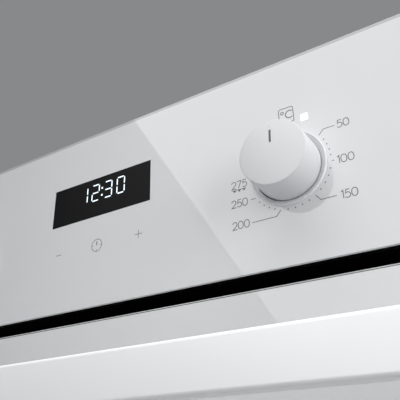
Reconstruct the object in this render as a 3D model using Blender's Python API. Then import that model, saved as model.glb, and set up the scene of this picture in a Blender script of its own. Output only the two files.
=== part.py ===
"""Built-in electric oven with a glass front, two retractable knobs and a drop-down door.

The oven is modelled closed, with its knobs out. +X is to the right as one faces it, +Y runs
from the door to the rear and +Z is up. The origin is in the middle of the oven's underside,
in the plane where the side flanges meet the front edges of the kitchen cabinet.
"""

import math

import bmesh
import bpy
from mathutils import Matrix, Vector

# ---------------------------------------------------------------- driving sizes, in metres
FIT = 0.0003  # gap kept between pieces that touch
OVER = 0.003  # how far a cutter reaches past what it cuts
FRONT_WIDTH = 0.594  # control panel and door glass
FRONT_FOOT = 0.005  # lower edge of the door glass above the base
DOOR_HEIGHT = 0.475
PANEL_GAP = 0.007  # air slot between door and control panel
PANEL_HEIGHT = 0.107
FRONT_PROUD = 0.021  # front face ahead of the cabinet plane
GLASS = 0.004
GLASS_BEVEL = 0.0008

FRONT_OVERLAP = 0.024  # glass front beyond each side of the body
BODY_HEIGHT = 0.576
BODY_DEPTH = 0.527
SHEET = 0.001  # casing steel
UPSTAND = 0.015  # folded edges of base and top
BASE_LIP = 0.001  # base panel ahead of the cabinet plane
FLANGE_REACH = 0.017  # turned-out edge of a side panel
FLANGE_SHEET = 0.0012
SCREW_ASIDE = 0.00935  # cabinet screws beyond the body's side
SCREW_LEVELS = (0.150, 0.420)
SCREW_HOLE = 0.0023
VENT_PITCH = 0.016
VENT_WIDTH = 0.005
VENT_LENGTH = 0.050
TOP_VENTS = 9
TOP_VENT_INSET = 0.075  # middle of the top vents ahead of the rear
REAR_VENTS = 8
REAR_VENT_LEVELS = (0.500, 0.060)
SUPPLY_X = -0.160  # middle of the terminal block
SUPPLY_Z = 0.515
TERMINALS = 3

SIDE_SPACE = 0.033  # between the body's side and the cavity
CAVITY_HEIGHT = 0.360
CAVITY_DEPTH = 0.410
CAVITY_FLOOR = 0.070
CAVITY_SHEET = 0.0012
SEAL_PLANE = 0.018  # front face of the cavity frame
SEAL_MARGIN = 0.0055  # gasket outside the cavity's mouth
INSULATION = 0.0185
WRAP_CLEAR = 0.002  # between cavity and insulation
HEATER_SPACE = 0.0143  # under the cavity floor, for the base heater
HEATER_RADIUS = 0.0032
BASE_HEATER_INSET = 0.020  # base heater's ends inside the insulation's rear opening
OPENING_INSET = 0.028  # that opening narrower than the fan cover, each side
HEATER_TAIL = 0.022  # heater ends behind the cavity's rear wall
FAN_HEIGHT = 0.250
FAN_RADIUS = 0.072
FAN_BLADES = 10
COVER_SPACE = 0.072  # between fan cover and the cavity's side
COVER_HALF_HEIGHT = 0.142
COVER_DEPTH = 0.040
COVER_CORNER = 0.030
GRILL_DROP = 0.022  # grill heater below the cavity roof
GRILL_EXIT = 0.030
GRILL_SPACE = 0.075  # between the outer grill loop and the cavity's side
RING_RADIUS = 0.092
RING_EXIT_ANGLE = 12.0
LAMP_SPACE = 0.037  # lamp's axis from the cavity's side
LAMP_DROP = 0.045  # and from its roof
LAMP_NECK = 0.018
LAMP_RIM = 0.0225
PROBE_SPACE = 0.040
PROBE_DROP = 0.030

KNOB_OFFSET = 0.1128  # knob axes left and right of the middle
KNOB_RISE = 0.0461  # knob axes above the panel's lower edge
KNOB_PROUD = 0.0188  # face of a knob ahead of the glass, when out
KNOB_TRAVEL = 0.016
KNOB_LENGTH = 0.025
KNOB_WALL = 0.002
KNOB_EDGE = 0.0006
KNOB_FLARE = 0.0007  # a knob's foot is wider than its face by this, in radius
TUBE_BORE = 0.0165
TUBE_WALL = 0.0008
TUBE_LENGTH = 0.012
KNOB_CLEARANCE = 0.0006  # between a knob's foot and the tube
BEZEL_RIM = 0.0019
BEZEL_PROUD = 0.0015
BEZEL_EDGE = 0.0004
SLEEVE_BORE = 0.005
SLEEVE_OUTER = 0.007
SLEEVE_START = 0.006  # front end of a sleeve behind the knob's face
SLEEVE_SPARE = 0.002  # left behind a sleeve when its knob is in
GUIDE_WALL = 0.0015
GUIDE_SPARE = 0.007  # guide's length beyond the travel
SHAFT_RADIUS = 0.003
SHAFT_SPARE = 0.0013  # left ahead of a shaft when its knob is in
SHAFT_GRIP = 0.0045  # overlap of knob and shaft when the knob is out
SHAFT_SEAT = 0.0125  # depth of a shaft's seat in its switch
PANEL_DEPTH = 0.014  # front of the switches behind the cabinet plane
SWITCH_HALF = 0.021
SWITCH_DEPTH = 0.028
COLLAR_RADIUS = 0.018

CARRIER_INSET = 0.005  # carrier narrower than the body, each side
CARRIER_EDGE = 0.004  # carrier within the glass, above and below
CARRIER_SHEET = 0.002
DISPLAY_WIDTH = 0.0706
DISPLAY_HEIGHT = 0.0243
DISPLAY_RISE = 0.01735  # display's middle above the knob axes
DISPLAY_DEPTH = 0.020
TOUCH_DROP = 0.0123  # touch symbols below the knob axes
TOUCH_HALF_WIDTH = 0.036
TOUCH_HALF_HEIGHT = 0.006
LAMP_SIDE = 0.0036
LAMP_ASIDE = 0.0105  # indicator lamp to the right of its knob axis
LAMP_CLEARANCE = 0.0054  # indicator lamp's middle above the bezel
LAMP_BODY = 0.008

PIVOT_BEHIND = 0.011  # hinge pins behind the glass front
PIVOT_RISE = 0.008  # hinge pins above the glass lower edge
HINGE_ASIDE = 0.0085  # hinges outside the cavity's mouth
PIN_RADIUS = 0.002
HINGE_CASE = 0.0085  # half width
HINGE_HEIGHT = 0.045
HINGE_WALL = 0.002
ARM_HALF = 0.0025
ARM_NOSE = 0.005
ARM_FOOT = 0.012
ARM_HEAD = 0.040
ARM_END = 0.085
STILE_WIDTH = 0.028
STILE_DEPTH = 0.0257
STILE_FOOT = 0.005  # stiles above the glass lower edge
STILE_DROP = 0.010  # and below its top edge
MIDDLE_PANE = 0.003
MIDDLE_PANE_BEHIND = 0.0107
MIDDLE_PANE_FOOT = 0.020
MIDDLE_PANE_DROP = 0.006
PANE_GRIP = 0.004  # middle pane's edge inside a stile
INNER_PANE_SIDE = 0.010  # inner pane outside the cavity's mouth
INNER_PANE_FOOT = 0.020
INNER_PANE_HEAD = 0.022
TRIM_HEIGHT = 0.0067
TRIM_SHEET = 0.002
RAIL_HEIGHT = 0.014
HANDLE_SHORT = 0.070  # handle shorter than the glass is wide
HANDLE_HEIGHT = 0.020
HANDLE_THICKNESS = 0.012
HANDLE_REACH = 0.042  # handle front ahead of the glass
HANDLE_DROP = 0.0254  # top of the handle below the door's top edge
POST_SIDE = 0.016
POST_INSET = 0.026

LEVELS = 5
LEVEL_PITCH = 0.060
FIRST_LEVEL = 0.042  # above the cavity floor
GUIDE_BAR = 0.005
GUIDE_HEIGHT = 0.004
GUIDE_SPACE = 0.0105
GUIDE_FRONT = 0.014  # guides behind the seal plane
GUIDE_REAR = 0.050  # and ahead of the rear wall
GUIDE_POST = 0.0045
RACK_FRONT = 0.022  # shelf and tray behind the seal plane
RACK_REAR = 0.062
RACK_CLEARANCE = 0.006
RACK_WIRE = 0.003
RACK_FRAME = 0.005
RACK_GAPS = 15
SHELF_LEVEL = 2
TRAY_LEVEL = 0
TRAY_DEPTH = 0.026
TRAY_RIM = 0.010

BLOWER_HALF = 0.070
BLOWER_HEIGHT = 0.042
BLOWER_SHEET = 0.0012
BLOWER_BLADES = 12
DUCT_HALF = 0.150

# ---------------------------------------------------------------- places worked out from them
BODY_WIDTH = FRONT_WIDTH - 2 * FRONT_OVERLAP
CAVITY_WIDTH = BODY_WIDTH - 2 * SIDE_SPACE
FRONT = -FRONT_PROUD
BEHIND_GLASS = FRONT + GLASS
CARRIER_FRONT = BEHIND_GLASS + FIT
DOOR_BOTTOM = FRONT_FOOT
DOOR_TOP = DOOR_BOTTOM + DOOR_HEIGHT
PANEL_BOTTOM = DOOR_TOP + PANEL_GAP
PANEL_TOP = PANEL_BOTTOM + PANEL_HEIGHT
KNOB_Z = PANEL_BOTTOM + KNOB_RISE
KNOB_BASE_RADIUS = TUBE_BORE - KNOB_CLEARANCE
KNOB_FACE_RADIUS = KNOB_BASE_RADIUS - KNOB_FLARE
BEZEL_RADIUS = TUBE_BORE + BEZEL_RIM
TUBE_RADIUS = TUBE_BORE + TUBE_WALL
DISPLAY_Z = KNOB_Z + DISPLAY_RISE
TOUCH_Z = KNOB_Z - TOUCH_DROP
SIDE_INNER = BODY_WIDTH / 2 - SHEET
UPSTAND_OUTER = SIDE_INNER - FIT
UPSTAND_INNER = UPSTAND_OUTER - SHEET
REAR_INNER = BODY_DEPTH - SHEET - FIT
CAVITY_TOP = CAVITY_FLOOR + CAVITY_HEIGHT
CAVITY_REAR = SEAL_PLANE + CAVITY_DEPTH
CAVITY_BACK = CAVITY_REAR + CAVITY_SHEET
FRAME_REAR = SEAL_PLANE + CAVITY_SHEET
LAMP_CENTRE = (LAMP_SPACE - CAVITY_WIDTH / 2, 0.0, CAVITY_TOP - LAMP_DROP)
PROBE_CENTRE = (CAVITY_WIDTH / 2 - PROBE_SPACE, 0.0, CAVITY_TOP - PROBE_DROP)
COVER_HALF = CAVITY_WIDTH / 2 - COVER_SPACE
WRAP_OPENING = COVER_HALF - OPENING_INSET
WRAP_TOP = CAVITY_TOP + CAVITY_SHEET + WRAP_CLEAR + INSULATION
DUCT_BOTTOM = WRAP_TOP + 0.003
DUCT_TOP = PANEL_BOTTOM - 0.001
BLOWER = (0.0, CAVITY_REAR - 0.098)
HINGE_OFFSET = CAVITY_WIDTH / 2 + HINGE_ASIDE
PIVOT = Vector((0.0, FRONT + PIVOT_BEHIND, DOOR_BOTTOM + PIVOT_RISE))
STILE_REAR = CARRIER_FRONT + STILE_DEPTH
STILE_INNER = HINGE_OFFSET - STILE_WIDTH / 2
STILE_OUTER = HINGE_OFFSET + STILE_WIDTH / 2
STILE_LOW = DOOR_BOTTOM + STILE_FOOT
STILE_HIGH = DOOR_TOP - STILE_DROP
HANDLE_LENGTH = FRONT_WIDTH - HANDLE_SHORT

WHITE = (0.80, 0.81, 0.82)
CLEAR_WHITE = (0.86, 0.87, 0.88)
BLACK = (0.012, 0.012, 0.013)
STEEL = (0.55, 0.56, 0.57)
CHROME = (0.75, 0.76, 0.77)
ENAMEL = (0.045, 0.047, 0.055)
WOOL = (0.62, 0.58, 0.48)
PLASTIC = (0.05, 0.05, 0.052)
GREY = (0.30, 0.30, 0.31)
CERAMIC = (0.78, 0.76, 0.70)
HEATER = (0.16, 0.15, 0.145)

oven = None  # the empty at the origin, made by start()


# ---------------------------------------------------------------- general helpers
def start():
    """Clears the scene and returns the empty that carries the oven."""
    for item in list(bpy.data.objects):
        bpy.data.objects.remove(item)
    return add_empty("oven", Vector((0.0, 0.0, 0.0)), None)


def add_empty(name, place, parent):
    empty = bpy.data.objects.new(name, None)
    bpy.context.scene.collection.objects.link(empty)
    empty.location = place
    empty.parent = parent
    return empty


def material(name, colour, roughness, metallic=0.0):
    made = bpy.data.materials.new(name)
    made.use_nodes = True
    shader = made.node_tree.nodes["Principled BSDF"]
    shader.inputs["Base Color"].default_value = (*colour, 1.0)
    shader.inputs["Roughness"].default_value = roughness
    shader.inputs["Metallic"].default_value = metallic
    return made


def add_object(name, mesh, place, parent, look=None):
    """Puts a mesh drawn in cabinet-plane coordinates on an object whose origin is at place."""
    mesh.transform(Matrix.Translation(-Vector(place)))
    made = bpy.data.objects.new(name, mesh)
    bpy.context.scene.collection.objects.link(made)
    offset = parent.location if parent is not oven else Vector((0.0, 0.0, 0.0))
    made.parent = parent
    made.location = Vector(place) - offset
    if look:
        made.data.materials.append(material(name, *look))
    return made


def middle_of(mesh):
    corners = [v.co for v in mesh.vertices]
    low = Vector([min(c[k] for c in corners) for k in range(3)])
    high = Vector([max(c[k] for c in corners) for k in range(3)])
    return (low + high) / 2


def node(name, mesh, look, parent=None, place=None):
    """A piece of the oven: its origin is its own middle, or the axis of its joint."""
    return add_object(name, mesh, middle_of(mesh) if place is None else place, parent or oven, look)


def mesh_from(edit, name="shape"):
    bmesh.ops.recalc_face_normals(edit, faces=edit.faces)
    mesh = bpy.data.meshes.new(name)
    edit.to_mesh(mesh)
    edit.free()
    return mesh


def box_mesh(low, high):
    edit = bmesh.new()
    bmesh.ops.create_cube(edit, size=1.0)
    size = Vector(high) - Vector(low)
    middle = (Vector(high) + Vector(low)) / 2
    for vert in edit.verts:
        vert.co = Vector([middle[k] + vert.co[k] * size[k] for k in range(3)])
    return mesh_from(edit)


def prism_mesh(outline, axis, begin, end):
    """An outline of two coordinates drawn out along X, Y or Z from begin to end."""
    def point(a, b, along):
        return {"X": (along, a, b), "Y": (a, along, b), "Z": (a, b, along)}[axis]

    edit = bmesh.new()
    face = edit.faces.new([edit.verts.new(point(a, b, begin)) for a, b in outline])
    drawn = bmesh.ops.extrude_face_region(edit, geom=[face])
    step = Vector(point(0.0, 0.0, end - begin))
    verts = [v for v in drawn["geom"] if isinstance(v, bmesh.types.BMVert)]
    bmesh.ops.translate(edit, vec=step, verts=verts)
    return mesh_from(edit)


def turned_mesh(profile, centre, axis, sides):
    """A closed profile of (radius, distance along the axis) turned about Y or Z through centre."""
    along = {"Y": Vector((0, 1, 0)), "Z": Vector((0, 0, 1))}[axis]
    edit = bmesh.new()
    verts = [edit.verts.new(Vector(centre) + Vector((r, 0, 0)) + along * h) for r, h in profile]
    edges = [edit.edges.new((a, b)) for a, b in zip(verts, verts[1:] + verts[:1])]
    bmesh.ops.spin(edit, geom=verts + edges, cent=centre, axis=along, angle=math.tau, steps=sides)
    bmesh.ops.remove_doubles(edit, verts=edit.verts, dist=1e-6)
    on_axis = [e for e in edit.edges if len(e.link_faces) != 2]
    bmesh.ops.delete(edit, geom=on_axis, context="EDGES")
    return mesh_from(edit)


def cylinder_mesh(centre, axis, radius, begin, end, sides=16):
    return turned_mesh([(0, begin), (radius, begin), (radius, end), (0, end)], centre, axis, sides)


def smooth(item, degrees=35):
    item.data.shade_smooth()
    item.data.set_sharp_from_angle(angle=math.radians(degrees))


def helper(name, mesh):
    """A cutter or a piece to be joined, which isn't a node itself."""
    made = add_object(name, mesh, middle_of(mesh), oven)
    made.hide_render = True
    made.display_type = "WIRE"
    return made


def combine(item, mesh, operation, count):
    step = item.modifiers.new(f"{operation.lower()}_{count}", "BOOLEAN")
    step.operation = operation
    step.solver = "EXACT"
    step.object = helper(f"{item.name}_{operation.lower()}_{count}", mesh)


def merged(meshes):
    """Several closed shapes that don't touch each other, in one mesh."""
    edit = bmesh.new()
    for mesh in meshes:
        edit.from_mesh(mesh)
    return mesh_from(edit)


def cut(item, *meshes):
    combine(item, merged(meshes), "DIFFERENCE", len(item.modifiers))


def join(item, *meshes):
    combine(item, merged(meshes), "UNION", len(item.modifiers))


def arc_points(centre, radius, begin, end, steps):
    """Points on an arc, from begin to end degrees, anticlockwise from the first axis."""
    angles = [math.radians(begin + (end - begin) * k / steps) for k in range(steps + 1)]
    return [(centre[0] + radius * math.cos(a), centre[1] + radius * math.sin(a)) for a in angles]


def rounded_outline(low, high, radius, steps=4):
    """A rectangle with round corners, as a list of points."""
    left, right = low[0] + radius, high[0] - radius
    foot, head = low[1] + radius, high[1] - radius
    corners = (((right, head), 0), ((left, head), 90), ((left, foot), 180), ((right, foot), 270))
    return [p for centre, begin in corners for p in arc_points(centre, radius, begin, begin + 90, steps)]


def tube_mesh(points, radius, closed=False, sides=6):
    """A round rod swept along points, with mitred bends."""
    path = [Vector(p) for p in points]
    count = len(path)
    edit = bmesh.new()
    rings = []
    across = None
    for k, spot in enumerate(path):
        before = path[k - 1] if k or closed else None
        after = path[(k + 1) % count] if k + 1 < count or closed else None
        into = (spot - before).normalized() if before else (after - spot).normalized()
        out = (after - spot).normalized() if after else into
        along = (into + out).normalized()
        if across is None:
            across = into.cross(Vector((0.31, 0.47, 0.83))).normalized()
        across = (across - into * across.dot(into)).normalized()
        up = into.cross(across)
        ring = []
        for j in range(sides):
            angle = math.tau * j / sides
            ray = (across * math.cos(angle) + up * math.sin(angle)) * radius
            ray -= into * (ray.dot(along) / into.dot(along))
            ring.append(edit.verts.new(spot + ray))
        rings.append(ring)
        across = into.rotation_difference(out) @ across
    pairs = list(zip(rings, rings[1:] + rings[:1] if closed else rings[1:]))
    for one, two in pairs:
        shift = nearest_shift(one, two) if closed and two is rings[0] else 0
        for j in range(sides):
            i, m = (j + 1) % sides, (j + shift) % sides
            edit.faces.new((one[j], one[i], two[(m + 1) % sides], two[m]))
    if not closed:
        edit.faces.new(rings[0])
        edit.faces.new(rings[-1])
    return mesh_from(edit)


def nearest_shift(one, two):
    """How far the last ring's numbering is turned from the first's, where a loop closes."""
    sides = len(one)
    return min(range(sides), key=lambda m: (two[m].co - one[0].co).length)


def rod(name, points, radius, look, closed=False):
    smooth(node(name, tube_mesh(points, radius, closed), look), 60)


def both_sides():
    return (("left", -1), ("right", 1))


# ---------------------------------------------------------------- casing
def folded_sheet(web, face, end):
    """Outline of a sheet whose long edges are folded inwards; face is its outer side."""
    half = BODY_WIDTH / 2
    return [(-half, face), (half, face), (half, web), (UPSTAND_OUTER, web), (UPSTAND_OUTER, end),
            (UPSTAND_INNER, end), (UPSTAND_INNER, web), (-UPSTAND_INNER, web),
            (-UPSTAND_INNER, end), (-UPSTAND_OUTER, end), (-UPSTAND_OUTER, web), (-half, web)]


def make_base_panel():
    outline = folded_sheet(SHEET, 0.0, SHEET + UPSTAND)
    node("base_panel", prism_mesh(outline, "Y", -BASE_LIP, REAR_INNER), (STEEL, 0.4, 0.8))


def make_top_cover():
    web = BODY_HEIGHT - SHEET
    outline = folded_sheet(web, BODY_HEIGHT, web - UPSTAND)
    cover = node("top_cover", prism_mesh(outline, "Y", 0.0, REAR_INNER), (STEEL, 0.4, 0.8))
    middle = (0.0, BODY_DEPTH - TOP_VENT_INSET)
    cut(cover, *vent_slots(("X", "Y"), middle, web - OVER, BODY_HEIGHT + OVER, TOP_VENTS))


def vent_slots(axes, middle, begin, end, count):
    """A row of slots, spaced along the first axis and cut through along the one left over."""
    through = ({"X", "Y", "Z"} - set(axes)).pop()
    slots = []
    for k in range(count):
        across = middle[0] + (k - (count - 1) / 2) * VENT_PITCH
        low = dict(zip(axes, (across - VENT_WIDTH / 2, middle[1] - VENT_LENGTH / 2)))
        high = dict(zip(axes, (across + VENT_WIDTH / 2, middle[1] + VENT_LENGTH / 2)))
        low[through], high[through] = begin, end
        slots.append(box_mesh([low[a] for a in "XYZ"], [high[a] for a in "XYZ"]))
    return slots


def make_side_panels():
    bottom, top = SHEET + FIT, BODY_HEIGHT - SHEET - FIT
    half, reach = BODY_WIDTH / 2, BODY_WIDTH / 2 + FLANGE_REACH
    for side, sign in both_sides():
        outline = [(SIDE_INNER, -FLANGE_SHEET), (reach, -FLANGE_SHEET), (reach, 0.0), (half, 0.0),
                   (half, REAR_INNER), (SIDE_INNER, REAR_INNER)]
        mesh = prism_mesh([(sign * x, y) for x, y in outline], "Z", bottom, top)
        panel = node(f"{side}_side_panel", mesh, (STEEL, 0.4, 0.8))
        x = sign * (half + SCREW_ASIDE)
        cut(panel, *[cylinder_mesh((x, 0, z), "Y", SCREW_HOLE, -FLANGE_SHEET - OVER, OVER, 12)
                     for z in SCREW_LEVELS])


def make_rear_panel():
    half = BODY_WIDTH / 2
    mesh = box_mesh((-half, BODY_DEPTH - SHEET, 0.0), (half, BODY_DEPTH, BODY_HEIGHT))
    panel = node("rear_panel", mesh, (STEEL, 0.4, 0.8))
    before, after = BODY_DEPTH - SHEET - OVER, BODY_DEPTH + OVER
    wires_wide, wires_tall = 0.016, 0.010
    vents = []
    for z in REAR_VENT_LEVELS:
        vents += vent_slots(("X", "Z"), (0.0, z), before, after, REAR_VENTS)
    cut(panel, *vents, box_mesh((SUPPLY_X - wires_wide, before, SUPPLY_Z - wires_tall),
                                (SUPPLY_X + wires_wide, after, SUPPLY_Z + wires_tall)))


def make_front_frame():
    """The plate round the cavity mouth, with a slot for each hinge arm."""
    half = UPSTAND_INNER - FIT
    plate = box_mesh((-half, SEAL_PLANE, SHEET + FIT), (half, FRAME_REAR, WRAP_TOP))
    frame = node("front_frame", plate, (ENAMEL, 0.25))
    side = CAVITY_WIDTH / 2 + CAVITY_SHEET + FIT
    low, high = CAVITY_FLOOR - CAVITY_SHEET - FIT, CAVITY_TOP + CAVITY_SHEET + FIT
    before, after = SEAL_PLANE - OVER, FRAME_REAR + OVER
    slot, foot, head = ARM_HALF + 0.0015, ARM_FOOT - 0.002, ARM_HEAD + 0.012
    slots = [box_mesh((s * HINGE_OFFSET - slot, before, foot), (s * HINGE_OFFSET + slot, after, head))
             for _, s in both_sides()]
    cut(frame, box_mesh((-side, before, low), (side, after, high)), *slots)


# ---------------------------------------------------------------- cavity and what heats it
def make_cavity_shell():
    side, wall = CAVITY_WIDTH / 2, CAVITY_SHEET
    mesh = box_mesh((-side - wall, SEAL_PLANE, CAVITY_FLOOR - wall),
                    (side + wall, CAVITY_BACK, CAVITY_TOP + wall))
    shell = node("cavity_shell", mesh, (ENAMEL, 0.2))
    before, after = CAVITY_REAR - OVER, CAVITY_BACK + OVER
    heater_hole, axle_hole, probe_hole = HEATER_RADIUS + 0.0008, 0.007, 0.003
    cut(shell, box_mesh((-side, SEAL_PLANE - OVER, CAVITY_FLOOR), (side, CAVITY_REAR, CAVITY_TOP)))
    cut(shell, cylinder_mesh((0, 0, FAN_HEIGHT), "Y", axle_hole, before, after, 12),
        cylinder_mesh(LAMP_CENTRE, "Y", LAMP_NECK + FIT, before, after, 20),
        cylinder_mesh(PROBE_CENTRE, "Y", probe_hole, before, after, 10),
        *[cylinder_mesh((x, 0, z), "Y", heater_hole, before, after, 10) for x, z in heater_exits()])


def heater_exits():
    """Where the ends of the grill and ring heaters pass the cavity's rear wall."""
    angle = math.radians(RING_EXIT_ANGLE)
    ring_z = FAN_HEIGHT + RING_RADIUS * math.cos(angle)
    ring_x = RING_RADIUS * math.sin(angle)
    grill_z = CAVITY_TOP - GRILL_DROP
    return [(GRILL_EXIT, grill_z), (-GRILL_EXIT, grill_z), (ring_x, ring_z), (-ring_x, ring_z)]


def make_insulation_wrap():
    side = CAVITY_WIDTH / 2 + CAVITY_SHEET + WRAP_CLEAR
    inner_low, inner_high = CAVITY_FLOOR - CAVITY_SHEET - HEATER_SPACE, WRAP_TOP - INSULATION
    front, inner_rear = FRAME_REAR + FIT, CAVITY_BACK + WRAP_CLEAR
    rear = inner_rear + INSULATION
    mesh = box_mesh((-side - INSULATION, front, inner_low - INSULATION / 2),
                    (side + INSULATION, rear, WRAP_TOP))
    wrap = node("insulation_wrap", mesh, (WOOL, 0.95))
    opening, edge = WRAP_OPENING, 0.001
    lamp_hole, probe_hole = LAMP_RIM + 0.0035, 0.008
    cut(wrap, box_mesh((-side, front - OVER, inner_low), (side, inner_rear, inner_high)))
    cut(wrap, box_mesh((-opening, CAVITY_REAR, inner_low + edge),
                       (opening, rear + OVER, inner_high - edge)),
        cylinder_mesh(LAMP_CENTRE, "Y", lamp_hole, CAVITY_REAR, rear + OVER, 16),
        cylinder_mesh(PROBE_CENTRE, "Y", probe_hole, CAVITY_REAR, rear + OVER, 10))


def make_gasket():
    """The tube seal that the closed door's inner glass presses on."""
    space = SEAL_PLANE - inner_glass_rear()
    y = SEAL_PLANE - space / 2
    side, corner = CAVITY_WIDTH / 2 + SEAL_MARGIN, 0.015
    low, high = (-side, CAVITY_FLOOR - SEAL_MARGIN), (side, CAVITY_TOP + SEAL_MARGIN)
    outline = rounded_outline(low, high, corner)
    rod("cavity_gasket", [(x, y, z) for x, z in outline], space / 2 - FIT, (PLASTIC, 0.8), closed=True)


def make_grill_heater():
    """One tube bent into two nested loops under the roof, with both ends through the rear wall."""
    bend, outer = 0.016, CAVITY_WIDTH / 2 - GRILL_SPACE
    spare = outer - GRILL_EXIT - 4 * bend
    inner = GRILL_EXIT + 2 * bend + spare * 0.324
    front, turn_back, back = SEAL_PLANE + 0.052, SEAL_PLANE + 0.152, CAVITY_REAR - 0.060
    half = [(GRILL_EXIT, CAVITY_BACK + HEATER_TAIL)]
    half += arc_points((GRILL_EXIT + bend, turn_back), bend, 180, 270, 4)
    half += arc_points((inner - bend, turn_back), bend, 270, 360, 4)
    half += arc_points((inner + bend, back), bend, 180, 90, 4)
    half += arc_points((outer - bend, back), bend, 90, 0, 4)
    half += arc_points((outer - bend, front + bend), bend, 0, -90, 4)
    path = half + [(-x, y) for x, y in reversed(half)]
    z = CAVITY_TOP - GRILL_DROP
    rod("grill_heater", [(x, y, z) for x, y in path], HEATER_RADIUS, (HEATER, 0.45, 0.6))


def make_ring_heater():
    """A loop round the fan, open at the top, where its ends turn back through the wall."""
    y, bend, steps = CAVITY_REAR - 0.017, 0.006, 28
    points = []
    for k in range(steps + 1):
        angle = math.radians(RING_EXIT_ANGLE + (360 - 2 * RING_EXIT_ANGLE) * k / steps)
        points.append((RING_RADIUS * math.sin(angle), y, FAN_HEIGHT + RING_RADIUS * math.cos(angle)))
    depths = (CAVITY_BACK + HEATER_TAIL, y + bend, y + bend * 0.3)
    first, last = [[(x, depth, z) for depth in depths] for x, _, z in (points[0], points[-1])]
    rod("ring_heater", first + points[1:-1] + last[::-1], HEATER_RADIUS, (HEATER, 0.45, 0.6))


def make_base_heater():
    """A loop in the space between the cavity floor and the insulation."""
    z = CAVITY_FLOOR - CAVITY_SHEET - HEATER_SPACE / 2
    side, bend, front = WRAP_OPENING - BASE_HEATER_INSET, 0.040, SEAL_PLANE + 0.062
    half = [(side, CAVITY_BACK + HEATER_TAIL)] + arc_points((side - bend, front + bend), bend, 0, -90, 6)
    path = half + [(-x, y) for x, y in reversed(half)]
    rod("base_heater", [(x, y, z) for x, y in path], HEATER_RADIUS, (HEATER, 0.45, 0.6))


def make_fan_cover():
    """The pressed plate in front of the fan and its heater."""
    low = (-COVER_HALF, FAN_HEIGHT - COVER_HALF_HEIGHT)
    high = (COVER_HALF, FAN_HEIGHT + COVER_HALF_HEIGHT)
    front = CAVITY_REAR - COVER_DEPTH
    outer = prism_mesh(rounded_outline(low, high, COVER_CORNER), "Y", front, CAVITY_REAR - FIT)
    inner_low, inner_high = (low[0] + SHEET, low[1] + SHEET), (high[0] - SHEET, high[1] - SHEET)
    inside = rounded_outline(inner_low, inner_high, COVER_CORNER - SHEET)
    cover = node("fan_cover", outer, (ENAMEL, 0.25))
    cut(cover, prism_mesh(inside, "Y", front + SHEET, CAVITY_REAR + OVER))
    before, after = front - OVER, front + SHEET + OVER
    slot, pitch, round_half = 0.003, 0.012, 0.055
    slots = []
    for k in range(-4, 5):
        half, x = math.sqrt(round_half ** 2 - (k * pitch) ** 2), k * pitch
        slots.append(box_mesh((x - slot, before, FAN_HEIGHT - half), (x + slot, after, FAN_HEIGHT + half)))
    louvre, louvre_pitch, louvres = 0.022, 0.040, 6
    for _, sign in both_sides():
        x = sign * (COVER_HALF - 0.040)
        for k in range(louvres):
            z = FAN_HEIGHT + (k - (louvres - 1) / 2) * louvre_pitch
            slots.append(box_mesh((x - louvre, before, z - slot), (x + louvre, after, z + slot)))
    cut(cover, *slots)


def level_height(level):
    return CAVITY_FLOOR + FIRST_LEVEL + level * LEVEL_PITCH


def make_shelf_supports():
    wall = CAVITY_WIDTH / 2 - FIT
    front, rear = SEAL_PLANE + GUIDE_FRONT, CAVITY_REAR - GUIDE_REAR
    post_foot, post_half, post_inset = 0.012, 0.002, 0.012
    top = level_height(LEVELS - 1) + GUIDE_SPACE + post_foot
    weld = wall - GUIDE_POST + 0.0005
    for side, sign in both_sides():
        uprights = []
        for y in (front + post_inset, (front + rear) / 2, rear - post_inset):
            a, b = sorted((sign * wall, sign * (wall - GUIDE_POST)))
            uprights.append(box_mesh((a, y - post_half, CAVITY_FLOOR + post_foot), (b, y + post_half, top)))
        bars = []
        a, b = sorted((sign * weld, sign * (weld - GUIDE_BAR)))
        for level in range(LEVELS):
            z = level_height(level)
            for foot in (z - GUIDE_HEIGHT, z + GUIDE_SPACE):
                bars.append(box_mesh((a, front, foot), (b, rear, foot + GUIDE_HEIGHT)))
        guide = node(f"{side}_shelf_support", merged(bars), (CHROME, 0.2, 1.0))
        join(guide, *uprights)


def rack_corners():
    """Corners, seen from above, of whatever slides on the supports."""
    half = CAVITY_WIDTH / 2 - RACK_CLEARANCE
    return (-half, SEAL_PLANE + RACK_FRONT), (half, CAVITY_REAR - RACK_REAR)


def make_wire_shelf():
    z = level_height(SHELF_LEVEL) + FIT
    (left, front), (right, rear) = rack_corners()
    shelf = node("wire_shelf", box_mesh((left, front, z), (right, rear, z + RACK_FRAME)), (CHROME, 0.2, 1.0))
    gap = (right - left - 2 * RACK_FRAME - (RACK_GAPS - 1) * RACK_WIRE) / RACK_GAPS
    middle, half_bar = (front + rear) / 2, 0.002
    holes = []
    for k in range(RACK_GAPS):
        x = left + RACK_FRAME + k * (gap + RACK_WIRE)
        for a, b in ((front + RACK_FRAME, middle - half_bar), (middle + half_bar, rear - RACK_FRAME)):
            holes.append(box_mesh((x, a, z - OVER), (x + gap, b, z + RACK_FRAME + OVER)))
    cut(shelf, *holes)


def make_baking_tray():
    z, rim_sheet = level_height(TRAY_LEVEL) + FIT, 0.0012
    low, high = rack_corners()
    wall = TRAY_RIM + SHEET
    rim = prism_mesh(rounded_outline(low, high, 0.020), "Z", z, z + rim_sheet)
    pan = rounded_outline([v + TRAY_RIM for v in low], [v - TRAY_RIM for v in high], 0.018)
    inside = rounded_outline([v + wall for v in low], [v - wall for v in high], 0.017)
    tray = node("baking_tray", rim, (ENAMEL, 0.3))
    join(tray, prism_mesh(pan, "Z", z - TRAY_DEPTH, z + rim_sheet / 2))
    cut(tray, prism_mesh(inside, "Z", z - TRAY_DEPTH + SHEET, z + rim_sheet + OVER))


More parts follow.
